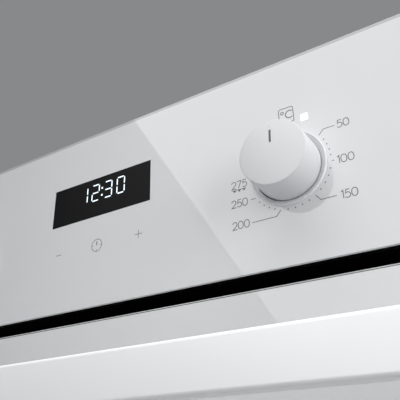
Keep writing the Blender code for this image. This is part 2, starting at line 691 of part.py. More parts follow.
def make_lamp():
    depth, wall, collar = 0.044, 0.004, LAMP_RIM + 0.001
    neck = LAMP_NECK + FIT
    housing = [(0, depth), (collar, depth), (collar, FIT), (neck, FIT),
               (neck, depth - wall), (0, depth - wall)]
    centre = (LAMP_CENTRE[0], CAVITY_BACK, LAMP_CENTRE[2])
    smooth(node("lamp_housing", turned_mesh(housing, centre, "Y", 16), (CERAMIC, 0.6)))
    front, glass, screwed = -CAVITY_SHEET - FIT, 0.002, 0.008
    lens = [(0, front - 0.014), (0.010, front - 0.0125), (0.018, front - 0.0085), (LAMP_RIM, front - 0.002),
            (LAMP_RIM, front), (LAMP_NECK, front), (LAMP_NECK, screwed), (LAMP_NECK - glass, screwed),
            (LAMP_NECK - glass, front - 0.0065), (0.009, front - 0.0105), (0, front - 0.012)]
    smooth(node("lamp_lens", turned_mesh(lens, centre, "Y", 16), (CLEAR_WHITE, 0.05)))


def make_probe():
    begin, end = CAVITY_REAR - 0.070, CAVITY_BACK + 0.018
    tip, flange, stem = 0.0022, 0.007, 0.0026
    seat = CAVITY_REAR - FIT
    profile = [(0, begin), (tip, begin), (tip, seat - CAVITY_SHEET), (flange, seat - CAVITY_SHEET),
               (flange, seat), (stem, seat), (stem, end), (0, end)]
    smooth(node("temperature_probe", turned_mesh(profile, PROBE_CENTRE, "Y", 12), (CHROME, 0.3, 1.0)))


def blade_mesh(axis_point, axis, angle, near, far, begin, end):
    """One flat blade standing out from an axis, from near to far radius."""
    thick = 0.001
    blade = box_mesh((near, -thick / 2, begin), (far, thick / 2, end))
    if axis == "Y":
        blade.transform(Matrix.Rotation(math.radians(90), 4, "X") @ Matrix.Scale(-1, 4, (0, 0, 1)))
    blade.transform(Matrix.Translation(Vector(axis_point)) @ Matrix.Rotation(angle, 4, axis))
    return blade


def make_convection_fan():
    """The fan inside the cavity, and behind the insulation the motor that turns it."""
    rear, disc, depth, hub, axle = CAVITY_REAR - 0.011, 0.0012, 0.022, 0.007, 0.0035
    wall, seat = CAVITY_BACK + FIT, 0.018
    end = wall + seat - 0.0043
    profile = [(0, rear - depth), (hub, rear - depth), (hub, rear - disc), (FAN_RADIUS, rear - disc),
               (FAN_RADIUS, rear), (axle, rear), (axle, end), (0, end)]
    centre = (0, 0, FAN_HEIGHT)
    fan = node("convection_fan", turned_mesh(profile, centre, "Y", 24), (STEEL, 0.35, 1.0),
               place=(0, rear, FAN_HEIGHT))
    join(fan, *[blade_mesh(centre, "Y", math.tau * k / FAN_BLADES, depth, FAN_RADIUS - 0.002,
                           rear - 0.020, rear - disc / 2) for k in range(FAN_BLADES)])
    bore, radius, neck = 0.0039, 0.034, 0.020
    motor = [(0, wall + 0.052), (neck, wall + 0.052), (radius, wall + 0.044), (radius, wall), (bore, wall),
             (bore, wall + seat), (0, wall + seat)]
    smooth(node("fan_motor", turned_mesh(motor, centre, "Y", 18), (STEEL, 0.45, 0.9)))


# ---------------------------------------------------------------- cooling air and supply
def make_blower():
    """Housing, impeller and motor that draw cooling air in at the top."""
    half, wall = BLOWER_HALF, BLOWER_SHEET
    front, rear = BLOWER[1] - half, BLOWER[1] + half
    base, top = DUCT_BOTTOM, DUCT_BOTTOM + BLOWER_HEIGHT
    centre = (*BLOWER, 0)
    outer = box_mesh((-half, front, base), (half, rear, top))
    housing = node("blower_housing", outer, (STEEL, 0.4, 0.9))
    cut(housing, box_mesh((-half + wall, front - OVER, base + wall), (half - wall, rear - wall, top - wall)))
    cut(housing, cylinder_mesh(centre, "Z", 0.045, top - wall - OVER / 2, top + OVER, 28))
    disc, radius, hub, axle, boss = base + wall + 0.002, 0.056, 0.008, 0.003, 0.012
    profile = [(0, disc), (radius, disc), (radius, disc + wall), (hub, disc + wall), (hub, disc + boss),
               (axle, disc + boss), (axle, top + 0.022), (0, top + 0.022)]
    impeller = node("blower_impeller", turned_mesh(profile, centre, "Z", 24), (PLASTIC, 0.5),
                    place=(*BLOWER, disc))
    join(impeller, *[blade_mesh(centre, "Z", math.tau * k / BLOWER_BLADES, 0.040, radius - 0.002,
                                disc + wall / 2, disc + 0.032) for k in range(BLOWER_BLADES)])
    foot, bore, seat = top + FIT, axle + 0.0004, 0.026
    strap_wide, strap_half, strap = half - 0.006, 0.007, 0.003
    radius, height = 0.022, 0.042
    can = cylinder_mesh(centre, "Z", radius, foot, foot + height, 28)
    body = node("blower_motor", can, (STEEL, 0.45, 0.9))
    join(body, box_mesh((-strap_wide, BLOWER[1] - strap_half, foot),
                        (strap_wide, BLOWER[1] + strap_half, foot + strap)))
    cut(body, cylinder_mesh(centre, "Z", bore, foot - OVER, foot + seat, 16))
    smooth(body)


def make_air_duct():
    """The flat channel that leads the air from the blower to the slot above the door."""
    end, mouth, taper = BLOWER[1] - BLOWER_HALF - FIT, SEAL_PLANE + 0.004, SEAL_PLANE + 0.092
    wide, narrow, sheet = DUCT_HALF, BLOWER_HALF, SHEET
    past = end + 0.010  # the slanted sides keep their slope through the rear edge
    outline = [(-wide, mouth), (wide, mouth), (wide, taper), (narrow, end), (-narrow, end), (-wide, taper)]
    inside = [(sheet - wide, mouth - OVER), (wide - sheet, mouth - OVER), (wide - sheet, taper),
              (narrow - sheet, past), (sheet - narrow, past), (sheet - wide, taper)]
    duct = node("air_duct", prism_mesh(outline, "Z", DUCT_BOTTOM, DUCT_TOP), (STEEL, 0.4, 0.9))
    cut(duct, prism_mesh(inside, "Z", DUCT_BOTTOM + sheet, DUCT_TOP - sheet))


def make_supply():
    """Terminal block inside the rear panel, and outside it the cover whose gland takes the cord."""
    half, tall, deep = 0.030, 0.015, 0.022
    block = node("terminal_block", box_mesh((SUPPLY_X - half, REAR_INNER - deep, SUPPLY_Z - tall),
                                            (SUPPLY_X + half, REAR_INNER, SUPPLY_Z + tall)), (CERAMIC, 0.6))
    pocket, pocket_tall, pitch, pocket_deep = 0.012, 0.008, 0.017, 0.006
    pockets = []
    for k in range(TERMINALS):
        x = SUPPLY_X + (k - (TERMINALS - 1) / 2) * pitch
        pockets.append(box_mesh((x - pocket / 2, REAR_INNER - pocket_deep, SUPPLY_Z - pocket_tall),
                                (x + pocket / 2, REAR_INNER + OVER, SUPPLY_Z + pocket_tall)))
    cut(block, *pockets)
    outside, wall, side, depth = BODY_DEPTH + FIT, 0.0015, 0.035, 0.016
    low, high = SUPPLY_Z - 0.030, SUPPLY_Z + 0.020
    left, right = SUPPLY_X - side, SUPPLY_X + side
    shell = box_mesh((left, outside, low), (right, outside + depth, high))
    cover = node("terminal_cover", shell, (PLASTIC, 0.5))
    gland, gland_behind = 0.0045, 0.007
    cut(cover, box_mesh((left + wall, outside - OVER, low + wall),
                        (right - wall, outside + depth - wall, high - wall)))
    centre = (SUPPLY_X, outside + gland_behind, 0)
    cut(cover, cylinder_mesh(centre, "Z", gland, low - OVER, low + wall + FIT, 16))


# ---------------------------------------------------------------- control panel
def glass_mesh(half, low, high):
    """A pane whose front edges are bevelled."""
    edit = bmesh.new()
    rings = []
    for y, inset in ((BEHIND_GLASS, 0.0), (FRONT + GLASS_BEVEL, 0.0), (FRONT, GLASS_BEVEL)):
        x, a, b = half - inset, low + inset, high - inset
        rings.append([edit.verts.new(p) for p in ((-x, y, a), (x, y, a), (x, y, b), (-x, y, b))])
    for one, two in zip(rings, rings[1:]):
        for k in range(4):
            j = (k + 1) % 4
            edit.faces.new((one[k], one[j], two[j], two[k]))
    edit.faces.new(rings[0])
    edit.faces.new(rings[-1])
    return mesh_from(edit)


def make_control_glass():
    mesh = glass_mesh(FRONT_WIDTH / 2, PANEL_BOTTOM, PANEL_TOP)
    panel = node("control_glass", mesh, (CLEAR_WHITE, 0.05))
    begin, end = FRONT - OVER, BEHIND_GLASS + OVER
    cut(panel, *[cylinder_mesh((s * KNOB_OFFSET, 0, KNOB_Z), "Y", TUBE_RADIUS + FIT, begin, end, 32)
                 for _, s in both_sides()])


def make_panel_carrier():
    front, sheet = CARRIER_FRONT, CARRIER_SHEET
    low, high = PANEL_BOTTOM + CARRIER_EDGE, PANEL_TOP - CARRIER_EDGE
    under = BODY_HEIGHT - SHEET - 0.003
    foot, shelf = SEAL_PLANE, SEAL_PLANE + 0.012
    outline = [(front, low), (foot, low), (foot, low + sheet), (front + sheet, low + sheet),
               (front + sheet, under - sheet), (shelf, under - sheet), (shelf, under), (front + sheet, under),
               (front + sheet, high), (front, high)]
    half = BODY_WIDTH / 2 - CARRIER_INSET
    carrier = node("panel_carrier", prism_mesh(outline, "X", -half, half), (GREY, 0.6))
    a, b = front - OVER, front + sheet + OVER
    hole = TUBE_RADIUS + 2 * FIT
    side = LAMP_SIDE / 2 + FIT
    wide, tall = DISPLAY_WIDTH / 2 + FIT, DISPLAY_HEIGHT / 2 + FIT
    touch_wide, touch_tall = TOUCH_HALF_WIDTH + FIT, TOUCH_HALF_HEIGHT + FIT
    cut(carrier,
        *[cylinder_mesh((s * KNOB_OFFSET, 0, KNOB_Z), "Y", hole, a, b, 32) for _, s in both_sides()],
        *[box_mesh((x - side, a, z - side), (x + side, b, z + side)) for x, z in lamp_places()],
        box_mesh((-wide, a, DISPLAY_Z - tall), (wide, b, DISPLAY_Z + tall)),
        box_mesh((-touch_wide, a, TOUCH_Z - touch_tall), (touch_wide, b, TOUCH_Z + touch_tall)))


def lamp_places():
    z = KNOB_Z + BEZEL_RADIUS + LAMP_CLEARANCE
    return [(s * KNOB_OFFSET + LAMP_ASIDE, z) for _, s in both_sides()]


def make_display():
    front, behind = CARRIER_FRONT, CARRIER_FRONT + CARRIER_SHEET
    wide, tall, edge = DISPLAY_WIDTH / 2, DISPLAY_HEIGHT / 2, 0.002
    window = box_mesh((-wide, front, DISPLAY_Z - tall), (wide, behind, DISPLAY_Z + tall))
    node("display_window", window, (BLACK, 0.1))
    module = box_mesh((-wide - edge, behind + FIT, DISPLAY_Z - tall - edge),
                      (wide + edge, front + DISPLAY_DEPTH, DISPLAY_Z + tall + edge))
    node("display_module", module, (PLASTIC, 0.5))
    board = box_mesh((-TOUCH_HALF_WIDTH, front, TOUCH_Z - TOUCH_HALF_HEIGHT),
                     (TOUCH_HALF_WIDTH, front + 0.0032, TOUCH_Z + TOUCH_HALF_HEIGHT))
    node("touch_board", board, (PLASTIC, 0.5))
    side, half = LAMP_SIDE / 2, LAMP_BODY / 2
    for name, (x, z) in zip(("function_lamp", "temperature_lamp"), lamp_places()):
        guide = box_mesh((x - side, front, z - side), (x + side, front + 0.012, z + side))
        lamp = node(name, guide, (CLEAR_WHITE, 0.3))
        join(lamp, box_mesh((x - half, behind + 0.0004, z - half), (x + half, front + 0.010, z + half)))


def make_control(name, x, housing):
    """Bezel, retractable knob with the sleeve it slides on, shaft and the switch they turn."""
    centre = (x, 0, KNOB_Z)
    face = FRONT - KNOB_PROUD
    make_bezel(name, centre)
    make_switch(housing, centre)
    rear = PANEL_DEPTH - KNOB_TRAVEL - SLEEVE_SPARE
    sleeve = [(SLEEVE_BORE, face + SLEEVE_START), (SLEEVE_OUTER, face + SLEEVE_START), (SLEEVE_OUTER, rear),
              (SLEEVE_BORE, rear)]
    slide = node(f"{name}_sleeve", turned_mesh(sleeve, centre, "Y", 16), (PLASTIC, 0.4),
                 place=(x, face, KNOB_Z))
    smooth(slide)
    inside, base = face + KNOB_WALL, face + KNOB_LENGTH
    tip = inside + KNOB_TRAVEL + SHAFT_SPARE
    hub, bore, hub_end = SLEEVE_BORE - FIT, SHAFT_RADIUS + FIT, tip + SHAFT_GRIP
    round_edge = arc_points((KNOB_FACE_RADIUS - KNOB_EDGE, face + KNOB_EDGE), KNOB_EDGE, -90, 0, 3)
    knob = [(0, face)] + round_edge + [(KNOB_BASE_RADIUS, base), (KNOB_BASE_RADIUS - KNOB_WALL, base),
            (KNOB_FACE_RADIUS - KNOB_WALL, inside), (hub, inside), (hub, hub_end), (bore, hub_end),
            (bore, inside), (0, inside)]
    turner = node(f"{name}_knob", turned_mesh(knob, centre, "Y", 32), (CLEAR_WHITE, 0.3),
                  parent=slide, place=(x, face, KNOB_Z))
    smooth(turner, 50)
    end = PANEL_DEPTH + SHAFT_SEAT - 0.001
    rod_mesh = cylinder_mesh(centre, "Y", SHAFT_RADIUS, tip, end, 12)
    axle = node(f"{name}_shaft", rod_mesh, (CHROME, 0.3, 1.0), place=(x, tip, KNOB_Z))
    smooth(axle)


def make_bezel(name, centre):
    rim, edge = FRONT - BEZEL_PROUD, BEZEL_EDGE
    bore, tube, end = TUBE_BORE, TUBE_RADIUS, rim + TUBE_LENGTH
    ring = [(bore, rim + edge), (bore + edge, rim), (BEZEL_RADIUS - edge, rim), (BEZEL_RADIUS, rim + edge),
            (BEZEL_RADIUS, FRONT - FIT), (tube, FRONT - FIT), (tube, end), (bore, end)]
    smooth(node(f"{name}_bezel", turned_mesh(ring, centre, "Y", 32), (CLEAR_WHITE, 0.25)))


def make_switch(housing, centre):
    """A switch with a collar, and a guide tube in front that the sleeve slides in."""
    x, body, bore = centre[0], PANEL_DEPTH, SHAFT_RADIUS + FIT
    guide_in, guide_out = SLEEVE_OUTER + FIT, SLEEVE_OUTER + FIT + GUIDE_WALL
    guide_front = body - KNOB_TRAVEL - GUIDE_SPARE
    profile = [(bore, body), (guide_in, body), (guide_in, guide_front), (guide_out, guide_front),
               (guide_out, body + 0.001), (COLLAR_RADIUS, body + 0.001), (COLLAR_RADIUS, body + 0.004),
               (0, body + 0.016), (0, body + SHAFT_SEAT), (bore, body + SHAFT_SEAT)]
    switch = node(housing, turned_mesh(profile, centre, "Y", 16), (PLASTIC, 0.5))
    low, high = (x - SWITCH_HALF, KNOB_Z - SWITCH_HALF), (x + SWITCH_HALF, KNOB_Z + SWITCH_HALF)
    outline = rounded_outline(low, high, 0.003, 2)
    join(switch, prism_mesh(outline, "Y", body + 0.002, body + 0.002 + SWITCH_DEPTH))
    cut(switch, cylinder_mesh(centre, "Y", bore, body - 0.001, body + SHAFT_SEAT, 16))


# ---------------------------------------------------------------- door
def make_door():
    """Everything that swings, on an empty at the hinge pins."""
    door = add_empty("door", PIVOT, oven)
    outer = glass_mesh(FRONT_WIDTH / 2, DOOR_BOTTOM, DOOR_TOP)
    node("door_outer_glass", outer, (CLEAR_WHITE, 0.05), door)
    front, rear = CARRIER_FRONT, STILE_REAR
    low, high = STILE_LOW, STILE_HIGH
    pane_low, pane_high = low + MIDDLE_PANE_FOOT, high - MIDDLE_PANE_DROP
    pane_front, pane_rear = front + MIDDLE_PANE_BEHIND, front + MIDDLE_PANE_BEHIND + MIDDLE_PANE
    pocket = HINGE_CASE + FIT
    for side, sign in both_sides():
        a, b = sorted((sign * STILE_INNER, sign * STILE_OUTER))
        bar = box_mesh((a, front, low), (b, rear, high))
        stile = node(f"door_{side}_stile", bar, (STEEL, 0.4, 0.9), door)
        c, d = sorted((sign * (STILE_INNER - OVER), sign * (STILE_INNER + PANE_GRIP + FIT)))
        middle = sign * HINGE_OFFSET
        groove = box_mesh((c, pane_front - FIT, pane_low - 0.0005), (d, pane_rear + FIT, high + OVER))
        cut(stile, groove, box_mesh((middle - pocket, front - OVER, low - OVER),
                                    (middle + pocket, rear + OVER, low + HINGE_HEIGHT + 0.001)))
        make_hinge(side, middle, door)
    reach = STILE_INNER + PANE_GRIP
    node("door_middle_glass", box_mesh((-reach, pane_front, pane_low), (reach, pane_rear, pane_high)),
         (CLEAR_WHITE, 0.05), door)
    side = CAVITY_WIDTH / 2 + INNER_PANE_SIDE
    inner = box_mesh((-side, rear + FIT, CAVITY_FLOOR - INNER_PANE_FOOT),
                     (side, inner_glass_rear(), CAVITY_TOP + INNER_PANE_HEAD))
    node("door_inner_glass", inner, (CLEAR_WHITE, 0.05), door)
    make_trim_and_rail(door)
    make_handle(door)


def make_trim_and_rail(door):
    """Folded strips across the top and the foot of the door."""
    front, rear, sheet = CARRIER_FRONT, STILE_REAR, TRIM_SHEET
    foot, head = STILE_HIGH + FIT, STILE_HIGH + FIT + TRIM_HEIGHT
    web = head - sheet
    top = [(front, foot), (front + sheet, foot), (front + sheet, web), (rear - sheet, web),
           (rear - sheet, foot), (rear, foot), (rear, head), (front, head)]
    node("door_top_trim", prism_mesh(top, "X", -STILE_OUTER, STILE_OUTER), (STEEL, 0.35, 0.9), door)
    low, high = STILE_LOW, STILE_LOW + RAIL_HEIGHT
    rail = [(front, low), (rear, low), (rear, high), (rear - sheet, high), (rear - sheet, low + sheet),
            (front + sheet, low + sheet), (front + sheet, high), (front, high)]
    reach = STILE_INNER - FIT
    node("door_bottom_rail", prism_mesh(rail, "X", -reach, reach), (STEEL, 0.4, 0.9), door)


def inner_glass_rear():
    return STILE_REAR + FIT + GLASS


def make_handle(door):
    top, face = DOOR_TOP - HANDLE_DROP, FRONT - HANDLE_REACH
    back, middle, half = face + HANDLE_THICKNESS, top - HANDLE_HEIGHT / 2, POST_SIDE / 2
    outline = rounded_outline((face, top - HANDLE_HEIGHT), (back, top), 0.0035, 4)
    bar = prism_mesh(outline, "X", -HANDLE_LENGTH / 2, HANDLE_LENGTH / 2)
    smooth(node("handle_bar", bar, (WHITE, 0.3), door))
    for side, sign in both_sides():
        x = sign * (HANDLE_LENGTH / 2 - POST_INSET)
        outline = rounded_outline((x - half, middle - half), (x + half, middle + half), 0.003, 3)
        post = prism_mesh(outline, "Y", back + FIT, FRONT - FIT)
        smooth(node(f"handle_post_{side}", post, (WHITE, 0.3), door))


def pin_mesh(middle, radius, half, sides=16):
    """A rod along X through a hinge's axis."""
    pin = cylinder_mesh((0, 0, 0), "Y", radius, -half, half, sides)
    pin.transform(Matrix.Rotation(math.radians(90), 4, "Z"))
    pin.transform(Matrix.Translation((middle, PIVOT.y, PIVOT.z)))
    return pin


def make_hinge(side, middle, door):
    """A channel with a pin in the door, and the arm it turns on, held in the casing."""
    front, rear, low = BEHIND_GLASS + 3 * FIT, STILE_REAR - FIT, STILE_LOW
    outer, inner, wall = HINGE_CASE, HINGE_CASE - HINGE_WALL, HINGE_WALL
    case = box_mesh((middle - outer, front, low + 0.0005), (middle + outer, rear, low + HINGE_HEIGHT))
    hinge = node(f"door_hinge_{side}", case, (STEEL, 0.35, 0.9), door)
    mouth = 0.016
    cut(hinge, box_mesh((middle - inner, front + wall, low - OVER),
                        (middle + inner, rear + OVER, low + HINGE_HEIGHT + OVER)))
    cut(hinge, box_mesh((middle - inner, front - OVER, low - OVER),
                        (middle + inner, front + 2 * wall, low + mouth)))
    join(hinge, pin_mesh(middle, PIN_RADIUS, outer - 0.0005))
    root, nose, z = FRAME_REAR + 0.002, ARM_NOSE, PIVOT.z
    outline = [(root, ARM_FOOT), (ARM_END, ARM_FOOT), (ARM_END, ARM_HEAD), (root, ARM_HEAD),
               (SEAL_PLANE - 0.001, z + nose)]
    outline += arc_points((PIVOT.y, z), nose, 90, 270, 8)
    outline += [(SEAL_PLANE - 0.006, z - nose), (root - 0.004, ARM_FOOT)]
    mesh = prism_mesh(outline, "X", middle - ARM_HALF, middle + ARM_HALF)
    arm = node(f"hinge_arm_{side}", mesh, (STEEL, 0.35, 0.9))
    cut(arm, pin_mesh(middle, PIN_RADIUS + FIT, ARM_HALF + OVER))


# ---------------------------------------------------------------- the whole oven
oven = start()
make_base_panel()
make_top_cover()
make_side_panels()
make_rear_panel()
make_front_frame()
make_cavity_shell()
make_insulation_wrap()
make_gasket()
make_grill_heater()
make_ring_heater()
make_base_heater()
make_fan_cover()
make_shelf_supports()
make_wire_shelf()
make_baking_tray()
make_lamp()
make_probe()
make_convection_fan()
make_blower()
make_air_duct()
make_supply()
make_control_glass()
make_panel_carrier()
make_display()
make_control("function", -KNOB_OFFSET, "function_switch")
make_control("temperature", KNOB_OFFSET, "thermostat_body")
make_door()
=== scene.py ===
# %% [markdown]
# A built-in oven, seen close up from below its clock. Its solids are loaded first and never move.
# Everything after that gives one of them a finish, takes its place with a finer piece of the same
# size, or adds a small fixing.

# %% Load the oven
import math
from contextlib import contextmanager

import bpy
from mathutils import Matrix, Vector


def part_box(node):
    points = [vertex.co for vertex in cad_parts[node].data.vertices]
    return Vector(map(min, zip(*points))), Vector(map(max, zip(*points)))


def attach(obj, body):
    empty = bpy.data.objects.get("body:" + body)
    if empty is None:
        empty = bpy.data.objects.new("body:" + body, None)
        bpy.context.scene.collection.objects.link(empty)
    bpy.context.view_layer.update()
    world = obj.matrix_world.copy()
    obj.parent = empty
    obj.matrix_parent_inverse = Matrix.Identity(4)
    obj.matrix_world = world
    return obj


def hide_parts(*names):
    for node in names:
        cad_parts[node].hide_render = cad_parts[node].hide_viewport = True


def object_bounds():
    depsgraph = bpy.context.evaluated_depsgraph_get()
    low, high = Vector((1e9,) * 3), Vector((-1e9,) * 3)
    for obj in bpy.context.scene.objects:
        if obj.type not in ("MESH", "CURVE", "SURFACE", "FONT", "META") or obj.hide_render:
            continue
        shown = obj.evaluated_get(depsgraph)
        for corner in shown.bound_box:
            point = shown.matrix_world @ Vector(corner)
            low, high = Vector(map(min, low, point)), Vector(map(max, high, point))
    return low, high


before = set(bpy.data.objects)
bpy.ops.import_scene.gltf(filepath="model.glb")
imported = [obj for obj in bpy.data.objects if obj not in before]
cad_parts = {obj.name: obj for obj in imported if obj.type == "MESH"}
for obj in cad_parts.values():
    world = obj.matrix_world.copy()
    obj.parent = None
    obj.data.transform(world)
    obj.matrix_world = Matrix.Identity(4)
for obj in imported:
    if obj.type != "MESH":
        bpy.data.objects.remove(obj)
cad_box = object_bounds()
MM = 0.001
NEAR = 1e-6
print(len(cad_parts), "solids, box", [list(corner) for corner in cad_box])

# %% [markdown]
# Working by hand in Blender means: select something, go into edit mode, use a tool, come out.
# The helpers do the same. Faces and edges are chosen by where they lie, because a place stays
# true when the mesh is numbered anew. Two places closer than NEAR count as one.


# %% Select and edit
def only(*pieces):
    """Select these pieces, or none, and nothing else; the last one is the active one."""
    bpy.ops.object.select_all(action="DESELECT")
    for piece in pieces:
        piece.select_set(True)
        bpy.context.view_layer.objects.active = piece


@contextmanager
def picked(piece, kind, wanted):
    """Edit mode on a piece, with only the wanted points, edges or faces selected."""
    only(piece)
    kinds = {"VERT": piece.data.vertices, "EDGE": piece.data.edges, "FACE": piece.data.polygons}
    bpy.context.tool_settings.mesh_select_mode = tuple(kind == k for k in kinds)
    for group in kinds.values():
        group.foreach_set("select", [False] * len(group))
    for element in kinds[kind]:
        element.select = bool(wanted(element))
    bpy.ops.object.mode_set(mode="EDIT")
    yield
    bpy.ops.object.mode_set(mode="OBJECT")


def ends(piece, edge):
    """The two end points of an edge."""
    return [piece.data.vertices[k].co for k in edge.vertices]


def apply_all(piece):
    only(piece)
    for step in list(piece.modifiers):
        bpy.ops.object.modifier_apply(modifier=step.name)


def bevelled(piece, width, segments):
    """Round every sharp edge, as a file or a mould would."""
    step = piece.modifiers.new("round", "BEVEL")
    step.width = width
    step.segments = segments
    step.limit_method = "ANGLE"
    step.angle_limit = math.radians(35)
    step.harden_normals = False
    apply_all(piece)


def smooth(piece, degrees):
    only(piece)
    bpy.ops.object.shade_smooth_by_angle(angle=math.radians(degrees))
    return piece


# %% Starting shapes
def block(name, low, high):
    """A box between two corners, with its place in its mesh."""
    middle = [(a + b) / 2 for a, b in zip(low, high)]
    size = [b - a for a, b in zip(low, high)]
    only()
    bpy.ops.mesh.primitive_cube_add(size=1, location=middle, scale=size)
    return settle(name)


def settle(name):
    """Name the piece just added and put its place, turn and scale into its mesh."""
    piece = bpy.context.object
    piece.name = piece.data.name = name
    bpy.ops.object.transform_apply(location=True, rotation=True, scale=True)
    return piece


def rod(name, middle, radius, length, sides):
    """A round rod that runs from front to back."""
    only()
    bpy.ops.mesh.primitive_cylinder_add(vertices=sides, radius=radius, depth=length, location=middle,
                                        rotation=(math.pi / 2, 0, 0))
    return settle(name)


def added(name, data):
    """A new piece in the scene."""
    piece = bpy.data.objects.new(name, data)
    bpy.context.scene.collection.objects.link(piece)
    return piece


def meshed(name, points, edges, faces):
    mesh = bpy.data.meshes.new(name)
    mesh.from_pydata([tuple(p) for p in points], edges, faces)
    return added(name, mesh)


def line_of(name, points, closed=False):
    """A chain of points joined by edges: the outline that a spin or an extrusion starts from."""
    count = len(points)
    edges = [(k, (k + 1) % count) for k in range(count if closed else count - 1)]
    return meshed(name, points, edges, [])


def spun(name, profile, centre, sides, axis=(0, -1, 0)):
    """Turn a profile of (radius, height) about an axis; the heights count outwards from centre."""
    axis = Vector(axis)
    aside = Vector((1, 0, 0))
    piece = line_of(name, [Vector(centre) + aside * r + axis * h for r, h in profile])
    with picked(piece, "EDGE", lambda e: True):
        bpy.ops.mesh.spin(steps=sides, angle=math.tau, center=centre, axis=axis)
        bpy.ops.mesh.select_all(action="SELECT")
        bpy.ops.mesh.remove_doubles(threshold=NEAR)
        bpy.ops.mesh.normals_make_consistent(inside=False)
    return piece


def drawn_out(name, outline, step):
    """Fill a closed outline and extrude it."""
    piece = line_of(name, outline, closed=True)
    with picked(piece, "EDGE", lambda e: True):
        bpy.ops.mesh.edge_face_add()
        bpy.ops.mesh.extrude_region_move(TRANSFORM_OT_translate={"value": step})
        bpy.ops.mesh.select_all(action="SELECT")
        bpy.ops.mesh.normals_make_consistent(inside=False)
    return piece


def bent_wire(name, points, radius, closed=False):
    """A round wire along points: a curve with a bevel, made a mesh."""
    curve = bpy.data.curves.new(name, "CURVE")
    curve.dimensions = "3D"
    curve.bevel_depth = radius
    curve.bevel_resolution = 3
    curve.use_fill_caps = not closed
    route = curve.splines.new("POLY")
    route.points.add(len(points) - 1)
    for spot, place in zip(route.points, points):
        spot.co = (*place, 1)
    route.use_cyclic_u = closed
    piece = added(name, curve)
    only(piece)
    bpy.ops.object.convert(target="MESH")
    with picked(piece, "VERT", lambda v: True):
        bpy.ops.mesh.remove_doubles(threshold=1e-7)
    return smooth(piece, 60)


def joined(name, pieces):
    only(*pieces)
    bpy.ops.object.join()
    piece = bpy.context.object
    piece.name = piece.data.name = name
    return piece


def cut_away(piece, cutters):
    """Subtract cutters, which are then thrown away."""
    for cutter in cutters:
        step = piece.modifiers.new("cut", "BOOLEAN")
        step.operation = "DIFFERENCE"
        step.solver = "EXACT"
        step.object = cutter
    apply_all(piece)
    for cutter in cutters:
        bpy.data.objects.remove(cutter)


def arc(centre, radius, begin, end, steps):
    """Points along an arc in a plane, from one angle to another in degrees."""
    turns = [math.radians(begin + (end - begin) * k / steps) for k in range(steps + 1)]
    return [(centre[0] + radius * math.cos(t), centre[1] + radius * math.sin(t)) for t in turns]


def square(x, z, half):
    """The lower and upper corner of a square round a point."""
    return (x - half, z - half), (x + half, z + half)


def rounded(low, high, radius, steps=8):
    """A rectangle with round corners, as points in a plane."""
    (a, b), (c, d) = low, high
    corners = ((c - radius, d - radius, 0), (a + radius, d - radius, 90),
               (a + radius, b + radius, 180), (c - radius, b + radius, 270))
    return [p for x, z, turn in corners for p in arc((x, z), radius, turn, turn + 90, steps)]


# %% [markdown]
# A finish is a material made of nodes. Real colours are never quite even, so each finish mixes in
# a little noise. Node sums are written as Python sums: a Value is a socket that can be added,
# multiplied and compared, and each operation adds the Math node that does it.


# %% Node sums
class Value:
    """A number or vector that varies over a surface."""

    def __init__(self, finish, socket):
        self.finish = finish
        self.socket = socket

    def maths(self, operation, other):
        return self.finish.node("ShaderNodeMath", {"operation": operation}, {0: self, 1: other})

    def __add__(self, other):
        return self.maths("ADD", other)

    def __sub__(self, other):
        return self.maths("SUBTRACT", other)

    def __mul__(self, other):
        return self.maths("MULTIPLY", other)

    def __gt__(self, other):
        return self.maths("GREATER_THAN", other)

    __radd__ = __add__
    __rmul__ = __mul__


